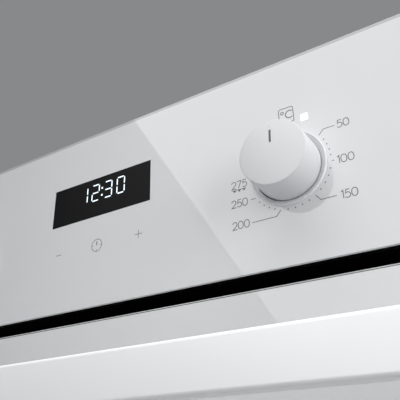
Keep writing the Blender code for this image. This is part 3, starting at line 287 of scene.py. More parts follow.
class Finish:
    """A material under construction: a Principled shader and the nodes that feed it."""

    def __init__(self, name, colour, roughness, metallic=0.0, **constants):
        self.material = bpy.data.materials.new(name)
        self.material.use_nodes = True
        self.tree = self.material.node_tree
        self.shader = self.tree.nodes["Principled BSDF"]
        self.colour = (*colour, 1.0)
        self.set("Base Color", self.colour)
        self.set("Roughness", roughness)
        self.set("Metallic", metallic)
        for label, amount in constants.items():
            self.set(label.replace("_", " "), amount)

    def set(self, label, value):
        self.feed(self.shader.inputs[label], value)

    def feed(self, socket, value):
        if isinstance(value, Value):
            self.tree.links.new(value.socket, socket)
        else:
            socket.default_value = value

    def node(self, kind, settings, sockets, out=0):
        made = self.tree.nodes.new(kind)
        for key, value in settings.items():
            setattr(made, key, value)
        for key, value in sockets.items():
            self.feed(made.inputs[key], value)
        return Value(self, made.outputs[out])

    def place(self, stretch=(1, 1, 1)):
        """Where a point lies on the oven, in metres, stretched for a pattern that runs one way."""
        spot = self.node("ShaderNodeTexCoord", {}, {}, out="Object")
        return self.node("ShaderNodeVectorMath", {"operation": "MULTIPLY"}, {0: spot, 1: stretch})

    def noise(self, scale, stretch=(1, 1, 1), detail=3.0):
        return self.node("ShaderNodeTexNoise", {}, {"Vector": self.place(stretch), "Scale": scale,
                                                    "Detail": detail}, out="Fac")

    def cells(self, scale, out="Distance"):
        return self.node("ShaderNodeTexVoronoi", {}, {"Vector": self.place(), "Scale": scale}, out=out)

    def ramp(self, value, low, high):
        """0 below low, 1 above high, and even in between."""
        return self.node("ShaderNodeMapRange", {}, {"Value": value, "From Min": low, "From Max": high})

    def mix(self, factor, first, second):
        return self.node("ShaderNodeMix", {"data_type": "RGBA"}, {0: factor, 6: first, 7: second}, out=2)

    def shade(self, factor, darker):
        """Let the base colour drop to a share of itself where factor is 1."""
        dark = tuple(c * darker for c in self.colour[:3]) + (1.0,)
        self.set("Base Color", self.mix(factor, self.colour, dark))

    def waver(self, scale, darker, band=(0.0, 1.0), stretch=(1, 1, 1)):
        """Let the tone waver with a noise, narrowed to a band of its range; hand the noise back."""
        grain = self.noise(scale, stretch)
        self.shade(self.ramp(grain, *band), darker)
        return grain

    def bump(self, height, strength, depth=0.0002):
        self.set("Normal", self.node("ShaderNodeBump", {}, {"Height": height, "Strength": strength,
                                                            "Distance": depth}, out="Normal"))


# %% [markdown]
# The white parts come first, because they fill the view. The glass is painted white on its back:
# its smooth front mirrors the room faintly over an even white. The knobs, rings and handle are
# moulded or powder-coated: duller, with a fine grain that spreads a highlight.

# %% White finishes
WHITE = (0.715, 0.72, 0.728)


def painted_glass():
    finish = Finish("white painted glass", WHITE, 0.03, IOR=1.5)
    finish.waver(2.5, 0.985, (0.35, 0.75))
    finish.set("Roughness", 0.010 + 0.012 * finish.noise(35))
    finish.bump(finish.noise(6, detail=1.0), 0.02, 0.0004)
    return finish.material


def even(name, colour, roughness, scale, darker, band=(0.0, 1.0), rough=None, **constants):
    """A finish with a wavering tone; rough is its least roughness, the spread and its scale."""
    finish = Finish(name, colour, roughness, **constants)
    finish.waver(scale, darker, band)
    if rough:
        least, spread, fineness = rough
        finish.set("Roughness", least + spread * finish.noise(fineness))
    return finish.material


def margin_and_painted_shade(name, grey):
    """A grey finish: the unpainted sliver between a pane's ground edge and the paint behind it, and
    painted shade where a pane's edge lies in shadow.
    """
    return even(name, (grey, grey, grey * 1.02), 0.05, 60, 0.9)


def satin_white(name, colour, roughness, grain=2600):
    finish = Finish(name, colour, roughness)
    finish.waver(9, 0.975, (0.4, 0.8))
    finish.set("Roughness", (roughness - 0.05) + 0.1 * finish.noise(140))
    finish.bump(finish.noise(grain, detail=2.0), 0.10, 0.00004)
    return finish.material


GLASS_WHITE = painted_glass()
GLASS_EDGE = even("ground glass edge", (0.60, 0.62, 0.62), 0.18, 900, 0.85, (0.4, 0.7), IOR=1.5)
PANEL_MARGIN = margin_and_painted_shade("upper margin of the panel", 0.50)
# The door's unpainted margin is darkened to a painted shade line along the door's top edge.
DOOR_MARGIN_SHADE = margin_and_painted_shade("door margin with painted shade", 0.10)
# Painted shade: the panel's underside lies in deep shade, so it is given a nearly black finish.
EDGE_SHADE = margin_and_painted_shade("painted shade on the panel's underside", 0.008)
KNOB_WHITE = satin_white("moulded white plastic", (0.65, 0.657, 0.67), 0.42)
RING_WHITE = satin_white("ring white plastic", (0.74, 0.75, 0.765), 0.28)
HANDLE_WHITE = satin_white("powder coated white", (0.84, 0.85, 0.86), 0.32, 1800)


# %% Printing, display and lamp finishes
def glowing(name, colour, strength):
    finish = Finish(name, (0.8, 0.85, 0.9), 0.4)
    fainter = [c * 0.93 for c in colour]
    finish.set("Emission Color", finish.mix(finish.noise(700), (*colour, 1.0), (*fainter, 1.0)))
    finish.set("Emission Strength", strength)
    return finish.material


PRINT = even("grey screen print", (0.135, 0.14, 0.15), 0.55, 1500, 0.8, (0.45, 0.7))
POINTER = even("dark pointer ink", (0.05, 0.052, 0.055), 0.45, 900, 0.7)
SMOKED = even("smoked display window", (0.006, 0.0062, 0.007), 0.04, 80, 1.0, rough=(0.03, 0.04, 80),
              Specular_IOR_Level=0.08)
LIT_FIGURES = glowing("lit clock figures", (0.70, 0.87, 1.0), 0.84)
LIT_LAMP = glowing("lit lamp", (1.0, 1.0, 0.98), 1.15)


# %% Dressing a piece
def dress(piece, look, body, replaced=()):
    """Give a finished piece its finish, its body and the solids that it stands for."""
    if look:
        piece.data.materials.clear()
        piece.data.materials.append(look)
    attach(piece, body)
    if replaced:
        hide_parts(*replaced)
    return piece


def on_faces(piece, look, wanted):
    """A second finish on some of a piece's faces."""
    piece.data.materials.append(look)
    number = len(piece.data.materials) - 1
    for face in piece.data.polygons:
        if wanted(face):
            face.material_index = number


# %% [markdown]
# The control panel is one pane of glass. Its front edges are ground to a narrow chamfer, and the
# white paint on its back stops just short of the top. It is a block: the front edges are
# bevelled, the front face is inset for the unpainted margin, and bisect cuts mark out the clear
# window in front of the clock.

# %% Places taken from the solids
panel_low, panel_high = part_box("control_glass")
FRONT = panel_low.y
knob_low, knob_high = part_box("temperature_knob")
KNOB_X = (knob_low.x + knob_high.x) / 2
KNOB_Z = (knob_low.z + knob_high.z) / 2
window_low, window_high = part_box("display_window")

# %% A pane with ground edges
CHAMFER, CORNER = 0.5 * MM, 0.9 * MM
DOOR_MARGIN_WIDTH, TOP_MARGIN_WIDTH = 0.45 * MM, 1.6 * MM


def is_front(face, front):
    return face.normal.y < -0.999 and abs(face.center.y - front) < 10 * NEAR


def runs_back(piece, edge, front):
    """Whether an edge is one of the four that run from the chamfer to the pane's back."""
    a, b = ends(piece, edge)
    return min(a.y, b.y) > front + NEAR and abs(a.y - b.y) > MM


def pane(name, low, high, margin, width, wanted):
    """A pane whose wanted front faces round the paint get a margin of a given width."""
    piece = block(name, low, high)
    front = low[1]
    with picked(piece, "EDGE", lambda e: all(abs(p.y - front) < NEAR for p in ends(piece, e))):
        bpy.ops.mesh.bevel(offset=CHAMFER, segments=1, affect="EDGES")
    with picked(piece, "EDGE", lambda e: runs_back(piece, e, front)):
        bpy.ops.mesh.bevel(offset=CORNER, segments=3, affect="EDGES")
    with picked(piece, "FACE", lambda f: is_front(f, front)):
        bpy.ops.mesh.inset(thickness=width)
    piece.data.materials.append(GLASS_WHITE)
    field = max((f for f in piece.data.polygons if is_front(f, front)), key=lambda f: f.area).index
    on_faces(piece, margin, lambda f: is_front(f, front) and f.index != field and wanted(f))
    on_faces(piece, GLASS_EDGE, lambda f: not is_front(f, front) and f.normal.y < 0.9)
    return piece


def bisect(piece, axis, places):
    """Slice through a piece at each place along an axis."""
    for place in places:
        point = [place if k == axis else 0.0 for k in range(3)]
        normal = [1.0 if k == axis else 0.0 for k in range(3)]
        with picked(piece, "FACE", lambda f: True):
            bpy.ops.mesh.bisect(plane_co=point, plane_no=normal)


# %% The control panel's glass
HOLE_RADIUS, HOLE_DEPTH, TOP_BAND = 17.7 * MM, 20 * MM, 2 * MM
panel = pane("panel_glass", panel_low, panel_high, PANEL_MARGIN, TOP_MARGIN_WIDTH,
             lambda f: f.center.z > panel_high.z - TOP_BAND)
# Painted shade: the faces on the panel's underside get the nearly black finish.
on_faces(panel, EDGE_SHADE, lambda f: f.normal.z < -0.9)
bisect(panel, 0, (window_low.x, window_high.x))
bisect(panel, 2, (window_low.z, window_high.z))
cut_away(panel, [rod("hole", (x, FRONT, KNOB_Z), HOLE_RADIUS, HOLE_DEPTH, 96) for x in (-KNOB_X, KNOB_X)])
on_faces(panel, SMOKED, lambda f: is_front(f, FRONT) and window_low.x < f.center.x < window_high.x
         and window_low.z < f.center.z < window_high.z)
dress(panel, None, "casing", ("control_glass",))

# %% [markdown]
# Everything printed on the glass is a line of even width, so one helper draws it all: a flat
# ribbon along a path, with mitred bends and the thickness of a coat of ink. Figures are built
# from straight lines and arcs, in a box one unit high.

# %% Ribbons of ink
INK = 0.035 * MM
LINE, THIN_LINE = 0.40 * MM, 0.34 * MM
MITRE_LIMIT = 0.35


def ribbon(path, width, closed=False):
    """Left and right borders of a line of even width along a path in the glass plane."""
    spots = [Vector((x, z)) for x, z in path]
    count = len(spots)
    left, right = [], []
    for k, spot in enumerate(spots):
        before = spots[k - 1] if k or closed else None
        after = spots[(k + 1) % count] if k + 1 < count or closed else None
        into = (spot - before).normalized() if before is not None else (after - spot).normalized()
        out = (after - spot).normalized() if after is not None else into
        along = (into + out).normalized()
        aside = Vector((-along.y, along.x)) * (width / 2 / max(MITRE_LIMIT, along.dot(into)))
        left.append(spot + aside)
        right.append(spot - aside)
    return left, right


def inked(name, strokes, fills=(), look=PRINT, body="casing", front=FRONT):
    """One printed piece from strokes (path, width, closed) and filled outlines."""
    spots, faces = [], []
    for path, width, closed in strokes:
        left, right = ribbon(path, width, closed)
        base, count = len(spots), len(left)
        spots += left + right
        for k in range(count if closed else count - 1):
            j = (k + 1) % count
            faces.append((base + k, base + j, base + count + j, base + count + k))
    for outline in fills:
        base = len(spots)
        spots += [Vector(p) for p in outline]
        faces.append(tuple(range(base, len(spots))))
    piece = meshed(name, [(p.x, front - INK, p.y) for p in spots], [], faces)
    with picked(piece, "FACE", lambda f: f.normal.y > 0):
        bpy.ops.mesh.flip_normals()
    step = piece.modifiers.new("ink", "SOLIDIFY")
    step.thickness = 1.6 * INK
    step.offset = -1.0
    apply_all(piece)
    return dress(piece, look, body)


OVAL_STEPS, OVAL_POWER = 28, 2.3


def oval(centre, wide, tall):
    """A closed oval, a little squarer than an ellipse."""
    points = []
    for k in range(OVAL_STEPS):
        turn = math.tau * k / OVAL_STEPS
        c, s = math.cos(turn), math.sin(turn)
        points.append((centre[0] + wide / 2 * math.copysign(abs(c) ** (2 / OVAL_POWER), c),
                       centre[1] + tall / 2 * math.copysign(abs(s) ** (2 / OVAL_POWER), s)))
    return points


# %% Figures
def figure_paths():
    """Each figure's width, and its path in a box one unit high; the bool says if it closes."""
    two = arc((0.31, 0.70), 0.30, 172, -38, 14) + [(0.02, 0.0), (0.63, 0.0)]
    five = [(0.57, 1.0), (0.14, 1.0), (0.08, 0.55)] + arc((0.29, 0.335), 0.335, 118, -142, 16)
    return {"0": (0.70, oval((0.35, 0.5), 0.68, 1.0), True),
            "1": (0.26, [(0.0, 0.84), (0.22, 1.0), (0.22, 0.0)], False),
            "2": (0.62, two, False), "5": (0.62, five, False),
            "7": (0.62, [(0.0, 1.0), (0.60, 1.0), (0.20, 0.0)], False)}


FIGURES = figure_paths()
FIGURE_HEIGHT = 3.7 * MM
FIGURE_GAP = 0.15


def written(text, left, foot):
    """The strokes of a number whose lower left corner is given."""
    strokes = []
    for letter in text:
        wide, path, closed = FIGURES[letter]
        line = [(left + x * FIGURE_HEIGHT, foot + z * FIGURE_HEIGHT) for x, z in path]
        strokes.append((line, LINE, closed))
        left += (wide + FIGURE_GAP) * FIGURE_HEIGHT
    return strokes


def dial_point(angle, radius):
    """A point on a dial, the angle counted clockwise from the top in degrees."""
    turn = math.radians(angle)
    return (radius * math.sin(turn), radius * math.cos(turn))


# %% [markdown]
# The temperature dial starts at the top with the knob off. Its dots stand ten degrees apart, with
# wider steps in the middle of the range than at its ends. A number stands beside its tick, or a
# bent leader leads to it.

# %% The temperature dial
DOT_RING = 20.1 * MM
DOT = 0.33 * MM
FIRST_ANGLE, CLOSE_STEP, WIDE_STEP = 55.0, 8.5, 9.8


def dial_angle(degrees):
    """The angle on the dial for a temperature."""
    steps = (degrees - 50) / 10
    wide = min(max(steps - 5, 0), 10)
    return FIRST_ANGLE + CLOSE_STEP * (steps - wide) + WIDE_STEP * wide


def dash(x, z, to_x, to_z, width):
    """A straight stroke."""
    return [(x, z), (to_x, to_z)], width, False


def shifted(paths, x, z):
    return [([(a + x, b + z) for a, b in path], width, closed) for path, width, closed in paths]


LEADERS = [((16.2, 11.7), (18.5, 14.2), (23.7, 14.2)), ((20.2, -2.7), (21.3, -2.75)),
           ((11.0, -16.8), (13.2, -19.5), (20.1, -19.5)), ((-5.4, -19.6), (-7.7, -22.1), (-19.8, -22.1)),
           ((-19.5, -10.6), (-17.0, -10.6))]
LABELS = (("50", 24.8, 12.5), ("100", 22.7, -4.9), ("150", 22.1, -21.6), ("200", -29.7, -23.6),
          ("250", -29.6, -12.6), ("275", -29.1, -2.9))


def temperature_dial():
    """Leaders, numbers, dots, the mark below the last number and the sign of the unit."""
    strokes = [([(x * MM, z * MM) for x, z in path], THIN_LINE, False) for path in LEADERS]
    for text, x, z in LABELS:
        strokes += written(text, x * MM, z * MM)
    dots = [dial_point(dial_angle(t), DOT_RING) for t in range(60, 250, 10) if t % 50]
    fills = [arc(spot, DOT, 0, 345, 15) for spot in dots]
    strokes.append(dash(-29.2 * MM, -3.65 * MM, -21.6 * MM, -3.65 * MM, 0.22 * MM))
    for k in range(3):
        x = (-27.6 + 2.45 * k) * MM
        fills.append([(x - 1.05 * MM, -3.7 * MM), (x, -4.95 * MM), (x + 1.05 * MM, -3.7 * MM)])
    sign_low, sign_high = (-1.8 * MM, 23.6 * MM), (5.5 * MM, 32.0 * MM)
    strokes.append((rounded(sign_low, sign_high, 0.9 * MM, 4), LINE, True))
    strokes.append((arc((-0.05 * MM, 29.6 * MM), 0.72 * MM, 0, 345, 15), 0.42 * MM, True))
    strokes.append((arc((3.6 * MM, 28.1 * MM), 2.0 * MM, 48, 312, 20), 0.52 * MM, False))
    strokes = shifted(strokes, KNOB_X, KNOB_Z)
    fills = [[(x + KNOB_X, z + KNOB_Z) for x, z in fill] for fill in fills]
    inked("temperature_dial_print", strokes, fills)


temperature_dial()


# %% The function dial
SIGN_HALF, SIGN_LINE, SIGN_STEP = 2.3 * MM, 0.30 * MM, 40
SIGN_RING, TICK_NEAR, TICK_FAR = 25.6 * MM, 19.6 * MM, 21.3 * MM


def symbol(kind, x, z):
    """A cooking function's sign: a cavity outline with its heat or fan drawn inside."""
    half, thin = SIGN_HALF, SIGN_LINE
    strokes = [(rounded(*square(x, z, half), 0.5 * MM, 3), thin, True)]
    inner = half * 0.62
    if "top" in kind:
        strokes.append(dash(x - inner, z + inner, x + inner, z + inner, thin * 1.3))
    if "base" in kind:
        strokes.append(dash(x - inner, z - inner, x + inner, z - inner, thin * 1.3))
    if "grill" in kind:
        teeth = [(x - inner + inner * k / 2, z + inner * (1.0 if k % 2 else 0.45)) for k in range(5)]
        strokes.append((teeth, thin * 1.2, False))
    if "fan" in kind:
        for turn in (45, 135):
            dx, dz = dial_point(turn, inner * 0.72)
            strokes.append(dash(x - dx, z - dz, x + dx, z + dz, thin * 1.2))
        strokes.append((arc((x, z), inner * 0.28, 0, 330, 11), thin, True))
    if "lamp" in kind:
        strokes.append((arc((x, z + 0.25 * MM), inner * 0.55, -60, 240, 14), thin, False))
        strokes.append(dash(x - 0.45 * MM, z - inner * 0.8, x + 0.45 * MM, z - inner * 0.8, thin))
    return strokes


def function_dial():
    kinds = ("lamp", "fan", "top base", "base", "fan base", "fan grill", "grill", "top")
    strokes = []
    for k, kind in enumerate(kinds):
        angle = SIGN_STEP * (k + 1)
        strokes += symbol(kind, *dial_point(angle, SIGN_RING))
        strokes.append(dash(*dial_point(angle, TICK_NEAR), *dial_point(angle, TICK_FAR), THIN_LINE))
    inked("function_dial_print", shifted(strokes, -KNOB_X, KNOB_Z))


function_dial()


# %% Touch signs
def touch_signs():
    board_low, board_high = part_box("touch_board")
    z = (board_low.z + board_high.z) / 2 - KNOB_Z
    pitch, thin = 28.2 * MM, 0.33 * MM
    strokes = [dash(-pitch - 2.05 * MM, z, -pitch + 2.05 * MM, z, thin),
               dash(pitch - 2.45 * MM, z, pitch + 2.45 * MM, z, thin),
               dash(pitch, z - 2.35 * MM, pitch, z + 2.35 * MM, thin),
               (arc((0, z), 3.5 * MM, 0, 350, 35), thin, True),
               dash(0, z - 0.1 * MM, 0, z + 2.3 * MM, 0.62 * MM)]
    for turn in (90, 180, 270):
        near, far = dial_point(turn, 2.45 * MM), dial_point(turn, 3.3 * MM)
        strokes.append(dash(near[0], near[1] + z, far[0], far[1] + z, thin))
    inked("touch_sign_print", shifted(strokes, 0.0, KNOB_Z))


touch_signs()

# %% [markdown]
# The clock's figures have seven bars. Each bar is a slim hexagon, so that two bars meet in a point
# with a hairline between them. They are lettered a to g, from the top clockwise, g in the middle.

# %% The clock's figures
BARS = {"0": "abcdef", "1": "bc", "2": "abdeg", "3": "abcdg"}
CLOCK_TIME = (("1", -12.0), ("2", -3.3), ("3", 5.95), ("0", 14.9))
CLOCK_FOOT, COLON_X, COLON_HALF, COLON_RISES = 15.0 * MM, 1.45 * MM, 0.55 * MM, (17.7, 22.1)


def bar(begin, end, thick, gap):
    """A slim hexagon between two points."""
    a, b = Vector(begin), Vector(end)
    along = (b - a).normalized()
    aside = Vector((-along.y, along.x)) * thick / 2
    a, b = a + along * gap, b - along * gap
    nose = along * thick / 2
    spots = (a, a + nose + aside, b - nose + aside, b, b - nose - aside, a + nose - aside)
    return [tuple(p) for p in spots]


def clock():
    high, wide, thick, gap = 10.5 * MM, 5.8 * MM, 0.70 * MM, 0.36 * MM
    foot = KNOB_Z + CLOCK_FOOT
    half = (high - thick) / 2
    left, right = -wide / 2 + thick / 2, wide / 2 - thick / 2
    low, mid, top = thick / 2, thick / 2 + half, thick / 2 + 2 * half
    bars = {"a": ((left, top), (right, top)), "b": ((right, mid), (right, top)),
            "c": ((right, low), (right, mid)), "d": ((left, low), (right, low)),
            "e": ((left, low), (left, mid)), "f": ((left, mid), (left, top)),
            "g": ((left, mid), (right, mid))}
    fills = []
    for figure, centre in CLOCK_TIME:
        x = centre * MM
        for letter in BARS[figure]:
            (a, b), (c, d) = bars[letter]
            fills.append(bar((x + a, foot + b), (x + c, foot + d), thick, gap))
    for rise in COLON_RISES:
        (a, b), (c, d) = square(COLON_X, KNOB_Z + rise * MM, COLON_HALF)
        fills.append([(a, b), (c, b), (c, d), (a, d)])
    inked("clock_figures", [], fills, LIT_FIGURES)


clock()


# %% Lamps in the glass
LAMP_HALF, LAMP_RADIUS = 1.75 * MM, 0.35 * MM


def lamp_window(name, node, look):
    low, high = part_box(node)
    middle = (low + high) / 2
    outline = rounded(*square(middle.x, middle.z, LAMP_HALF), LAMP_RADIUS, 3)
    inked(name, [], [outline], look)


UNLIT = satin_white("unlit lamp window", (0.62, 0.63, 0.64), 0.2)
lamp_window("temperature_lamp_window", "temperature_lamp", LIT_LAMP)
lamp_window("function_lamp_window", "function_lamp", UNLIT)

# %% [markdown]
# The rings and knobs are turned shapes, so each is one profile spun round its axis. A ring has a
# narrow bright rim outside, a shallow hollow inside that, and a sleeve that lines the hole in the
# glass; its lip sits a little off centre. A knob is a cup with a slightly domed face, a small
# radius round it and a slight flare to its foot, and it slides into the ring when pushed in.

# %% Rings
RING_PROFILE = [(16.35, -10.0), (16.35, -0.8), (16.12, -0.4), (16.12, 0.16), (16.28, 0.28),
                (16.90, 0.50), (17.40, 0.80), (17.72, 1.10), (17.92, 1.38), (18.05, 1.50),
                (18.20, 1.49), (18.33, 1.34), (18.40, 1.10), (18.40, 0.02), (17.25, 0.02),
                (17.25, -10.0), (16.35, -10.0)]
LIP_RADIUS, LIP_SHIFT = 16.2 * MM, (-0.22 * MM, 0, -0.20 * MM)


def ring(name, node, x):
    profile = [(r * MM, h * MM) for r, h in RING_PROFILE]
    piece = spun(name, profile, (x, FRONT, KNOB_Z), 128)
    with picked(piece, "VERT", lambda v: math.hypot(v.co.x - x, v.co.z - KNOB_Z) < LIP_RADIUS):
        bpy.ops.transform.translate(value=LIP_SHIFT)
    smooth(piece, 40)
    dress(piece, RING_WHITE, "casing", (node,))


ring("temperature_ring", "temperature_bezel", KNOB_X)
ring("function_ring", "function_bezel", -KNOB_X)

# %% Knobs
FACE_RADIUS, FOOT_RADIUS, FACE_EDGE = 15.45 * MM, 15.9 * MM, 0.45 * MM
DOME = 1.00 * MM
KNOB_WALL, HUB_RADIUS, BORE_RADIUS, HUB_FOOT = 1.8 * MM, 4.7 * MM, 3.3 * MM, 23.8 * MM
POINTER_START, POINTER_STEP, POINTER_TURN, POINTER_WIDTH = 4.1, 0.63, 1.5, 1.0 * MM
SPECK_RISE, SPECK_RADIUS = 12.5 * MM, 0.16 * MM


def fall(radius):
    """How far the slightly domed face has dropped at a distance from its middle."""
    return DOME * (radius / (FACE_RADIUS - FACE_EDGE)) ** 2


def knob(name, x):
    face = knob_low.y
    length = knob_high.y - knob_low.y
    edge = [(FACE_RADIUS - FACE_EDGE + FACE_EDGE * math.sin(math.radians(t)),
             -DOME - FACE_EDGE + FACE_EDGE * math.cos(math.radians(t))) for t in range(15, 91, 15)]
    dome = [(r, -fall(r)) for r in ((FACE_RADIUS - FACE_EDGE) * k / 12 for k in range(13))]
    flat = DOME + FACE_EDGE
    flare = [(FACE_RADIUS + (FOOT_RADIUS - FACE_RADIUS) * (k / 8) ** 1.3, -flat - (length - flat) * k / 8)
             for k in range(1, 9)]
    inside = [(FOOT_RADIUS - KNOB_WALL, -length), (FACE_RADIUS - KNOB_WALL, -KNOB_WALL),
              (HUB_RADIUS, -KNOB_WALL), (HUB_RADIUS, -HUB_FOOT), (BORE_RADIUS, -HUB_FOOT),
              (BORE_RADIUS, -KNOB_WALL), (0.0, -KNOB_WALL)]
    body = spun(f"{name}_knob_cap", dome + edge + flare + inside, (x, face, KNOB_Z), 128)
    smooth(body, 30)
    dress(body, KNOB_WHITE, f"{name}_knob", (f"{name}_knob",))
    radii = [(POINTER_START + POINTER_STEP * k) * MM for k in range(11)]
    line = [(x + a, KNOB_Z + b) for a, b in (dial_point(POINTER_TURN, r) for r in radii)]
    speck = arc((x, KNOB_Z + SPECK_RISE), SPECK_RADIUS, 0, 330, 11)
    mark = inked(f"{name}_knob_pointer", [(line, POINTER_WIDTH, False)], [speck], POINTER,
                 f"{name}_knob", face)
    for point in mark.data.vertices:
        point.co.y += fall(math.hypot(point.co.x - x, point.co.z - KNOB_Z))


knob("temperature", KNOB_X)
knob("function", -KNOB_X)

# %% [markdown]
# The door's outer pane is painted white on its back round a dark window, so that one looks
# through it, and through two more panes, into the oven. The window has round corners: its outline
# is cut out of the white pane, and a dark pane of the same outline fills the opening.

# %% Glass finishes
def tinted(name, colour, alpha, roughness=0.02):
    return even(name, colour, roughness, 4, 0.8, rough=(roughness, 0.02, 30), Alpha=alpha)


def dotted_window():
    """Dark see-through glass with a grid of printed dots that grow towards its border."""
    finish = Finish("dark door window", (0.012, 0.013, 0.014), 0.03)
    spot = finish.place()
    parts = [finish.node("ShaderNodeSeparateXYZ", {}, {0: spot}, out=axis) for axis in ("X", "Z")]
    aside = parts[0].maths("ABSOLUTE", 0.0)
    rise = (parts[1] - (DOOR_WINDOW_LOW[1] + DOOR_WINDOW_HIGH[1]) / 2).maths("ABSOLUTE", 0.0)
    half_x = DOOR_WINDOW_HIGH[0]
    half_z = (DOOR_WINDOW_HIGH[1] - DOOR_WINDOW_LOW[1]) / 2
    near = finish.ramp((aside - half_x).maths("MAXIMUM", rise - half_z), -DOT_BAND, 0.0)
    off = [(part * DOTS_PER_METRE).maths("FRACT", 0.0) - 0.5 for part in parts]
    distance = off[0] * off[0] + off[1] * off[1]
    dots = 0.5 * near > distance
    finish.set("Alpha", 0.80 + 0.20 * dots)
    return finish.material


door_low, door_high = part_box("door_outer_glass")
DOTS_PER_METRE, DOT_BAND = 300.0, 18 * MM
WINDOW_HALF, WINDOW_SILL, WINDOW_HEAD, WINDOW_RADIUS = 222 * MM, 72 * MM, 98 * MM, 12 * MM
DOOR_WINDOW_LOW = (-WINDOW_HALF, door_low.z + WINDOW_SILL)
DOOR_WINDOW_HIGH = (WINDOW_HALF, door_high.z - WINDOW_HEAD)
DOOR_WINDOW = dotted_window()
CLEAR = tinted("clear inner glass", (0.55, 0.60, 0.58), 0.10)


# %% The door's outer pane
def door_pane():
    # The margin round the door's pane gets the darkened finish: painted shade along its top edge.
    border = pane("door_glass_border", door_low, door_high, DOOR_MARGIN_SHADE, DOOR_MARGIN_WIDTH,
                  lambda f: True)
    outline = rounded(DOOR_WINDOW_LOW, DOOR_WINDOW_HIGH, WINDOW_RADIUS)
    deep, spare = door_high.y - door_low.y, 2 * MM
    early = [(x, door_low.y - spare, z) for x, z in outline]
    cutter = drawn_out("opening", early, (0, deep + 2 * spare, 0))
    cut_away(border, [cutter])
    dress(border, None, "door", ("door_outer_glass",))
    glass = drawn_out("door_glass_window", [(x, door_low.y, z) for x, z in outline], (0, deep, 0))
    dress(glass, DOOR_WINDOW, "door")


door_pane()

# %% [markdown]
# The handle is a flat bar on two posts. It is a block whose upper front edge is moved back and up
# a little, so that the front leans. Every edge is then rounded, and the upper front one gathers a
# bright line of light.

# %% The handle
bar_low, bar_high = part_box("handle_bar")
LEAN, RISE, HANDLE_ROUND = 1.3 * MM, 0.3 * MM, 1.7 * MM
POST_RADIUS, FLANGE = 3.0 * MM, 1.2 * MM
SINK_IN_BAR, SINK_IN_DOOR = 0.2 * MM, 0.05 * MM


def is_upper_front(point):
    return point.z > bar_high.z - NEAR and point.y < bar_low.y + NEAR


def handle():
    piece = block("door_handle", bar_low, bar_high)
    with picked(piece, "EDGE", lambda e: all(is_upper_front(p) for p in ends(piece, e))):
        bpy.ops.transform.translate(value=(0, LEAN, RISE))
    bevelled(piece, HANDLE_ROUND, 8)
    smooth(piece, 40)
    dress(piece, HANDLE_WHITE, "door", ("handle_bar",))


def post(side):
    low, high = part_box(f"handle_post_{side}")
    outline = rounded((low.x, low.z), (high.x, high.z), POST_RADIUS, 6)
    piece = drawn_out(f"handle_foot_{side}", [(x, low.y - SINK_IN_BAR, z) for x, z in outline],
                      (0, high.y - low.y + SINK_IN_BAR + SINK_IN_DOOR, 0))
    with picked(piece, "FACE", lambda f: f.normal.y > 0.9):
        bpy.ops.mesh.inset(thickness=-FLANGE, depth=0)
    smooth(piece, 40)
    dress(piece, HANDLE_WHITE, "door", (f"handle_post_{side}",))


handle()
post("left")
post("right")

# %% [markdown]
# Inside and behind, most parts are sheet metal or wire. Galvanised steel shows large zinc
# crystals, so a cell pattern tints it and changes its gloss. Enamel is glass over steel: dark,
# glossy, with pale specks. Mineral wool and seals are dull and get softness from a strong bump.


# %% Metal finishes
def galvanised():
    finish = Finish("galvanised sheet", (0.56, 0.57, 0.585), 0.36, 1.0)
    crystals = finish.cells(34, out="Color") * 1.0
    finish.shade(crystals, 0.80)
    finish.set("Roughness", 0.28 + 0.16 * crystals)
    finish.bump(finish.noise(420), 0.05, 0.00005)
    return finish.material


def metal(name, colour, roughness, stretch=(1, 1, 1), scale=240, darker=0.85):
    """Plated or drawn metal; a stretch turns the noise into fine drawing lines."""
    finish = Finish(name, colour, roughness, 1.0)
    grain = finish.waver(scale, darker, stretch=stretch)
    finish.set("Roughness", (roughness - 0.06) + 0.14 * grain)
    return finish.material


def enamel():
    finish = Finish("speckled grey enamel", (0.030, 0.032, 0.040), 0.16, Coat_Weight=0.5)
    specks = finish.cells(620) > 0.13
    tone = finish.mix(specks, (0.30, 0.32, 0.36, 1.0), (0.030, 0.032, 0.040, 1.0))
    finish.set("Base Color", tone)
    finish.set("Roughness", 0.12 + 0.12 * finish.noise(60))
    finish.bump(finish.noise(160, detail=1.0), 0.10, 0.0002)
    return finish.material


GALVANISED = galvanised()
PLATED = metal("bright zinc plating", (0.62, 0.62, 0.60), 0.30)
CHROME = metal("chromed wire", (0.72, 0.72, 0.73), 0.13, darker=0.93)
TURNED = metal("turned aluminium", (0.66, 0.66, 0.67), 0.26, (1, 30, 1), 90)
LACQUERED = metal("black lacquered steel", (0.012, 0.012, 0.013), 0.5)
ENAMEL = enamel()
SHEATH = even("oxidised heater sheath", (0.13, 0.12, 0.115), 0.42, 70, 0.45, (0.35, 0.7),
              (0.34, 0.2, 200), metallic=0.85)


# %% Dull finishes
def dull(name, colour, roughness, scale, bump, darker, depth=0.0002, **constants):
    """Moulded, fired or fibrous stuff: one noise for its tone and its bump."""
    finish = Finish(name, colour, roughness, **constants)
    finish.bump(finish.waver(scale, darker, (0.35, 0.7)), bump, depth)
    return finish.material


def braid():
    finish = Finish("braided seal", (0.20, 0.20, 0.195), 0.9)
    knots = finish.cells(900)
    finish.shade(finish.ramp(knots, 0.1, 0.6), 0.45)
    finish.bump(knots, 0.6, 0.0004)
    return finish.material


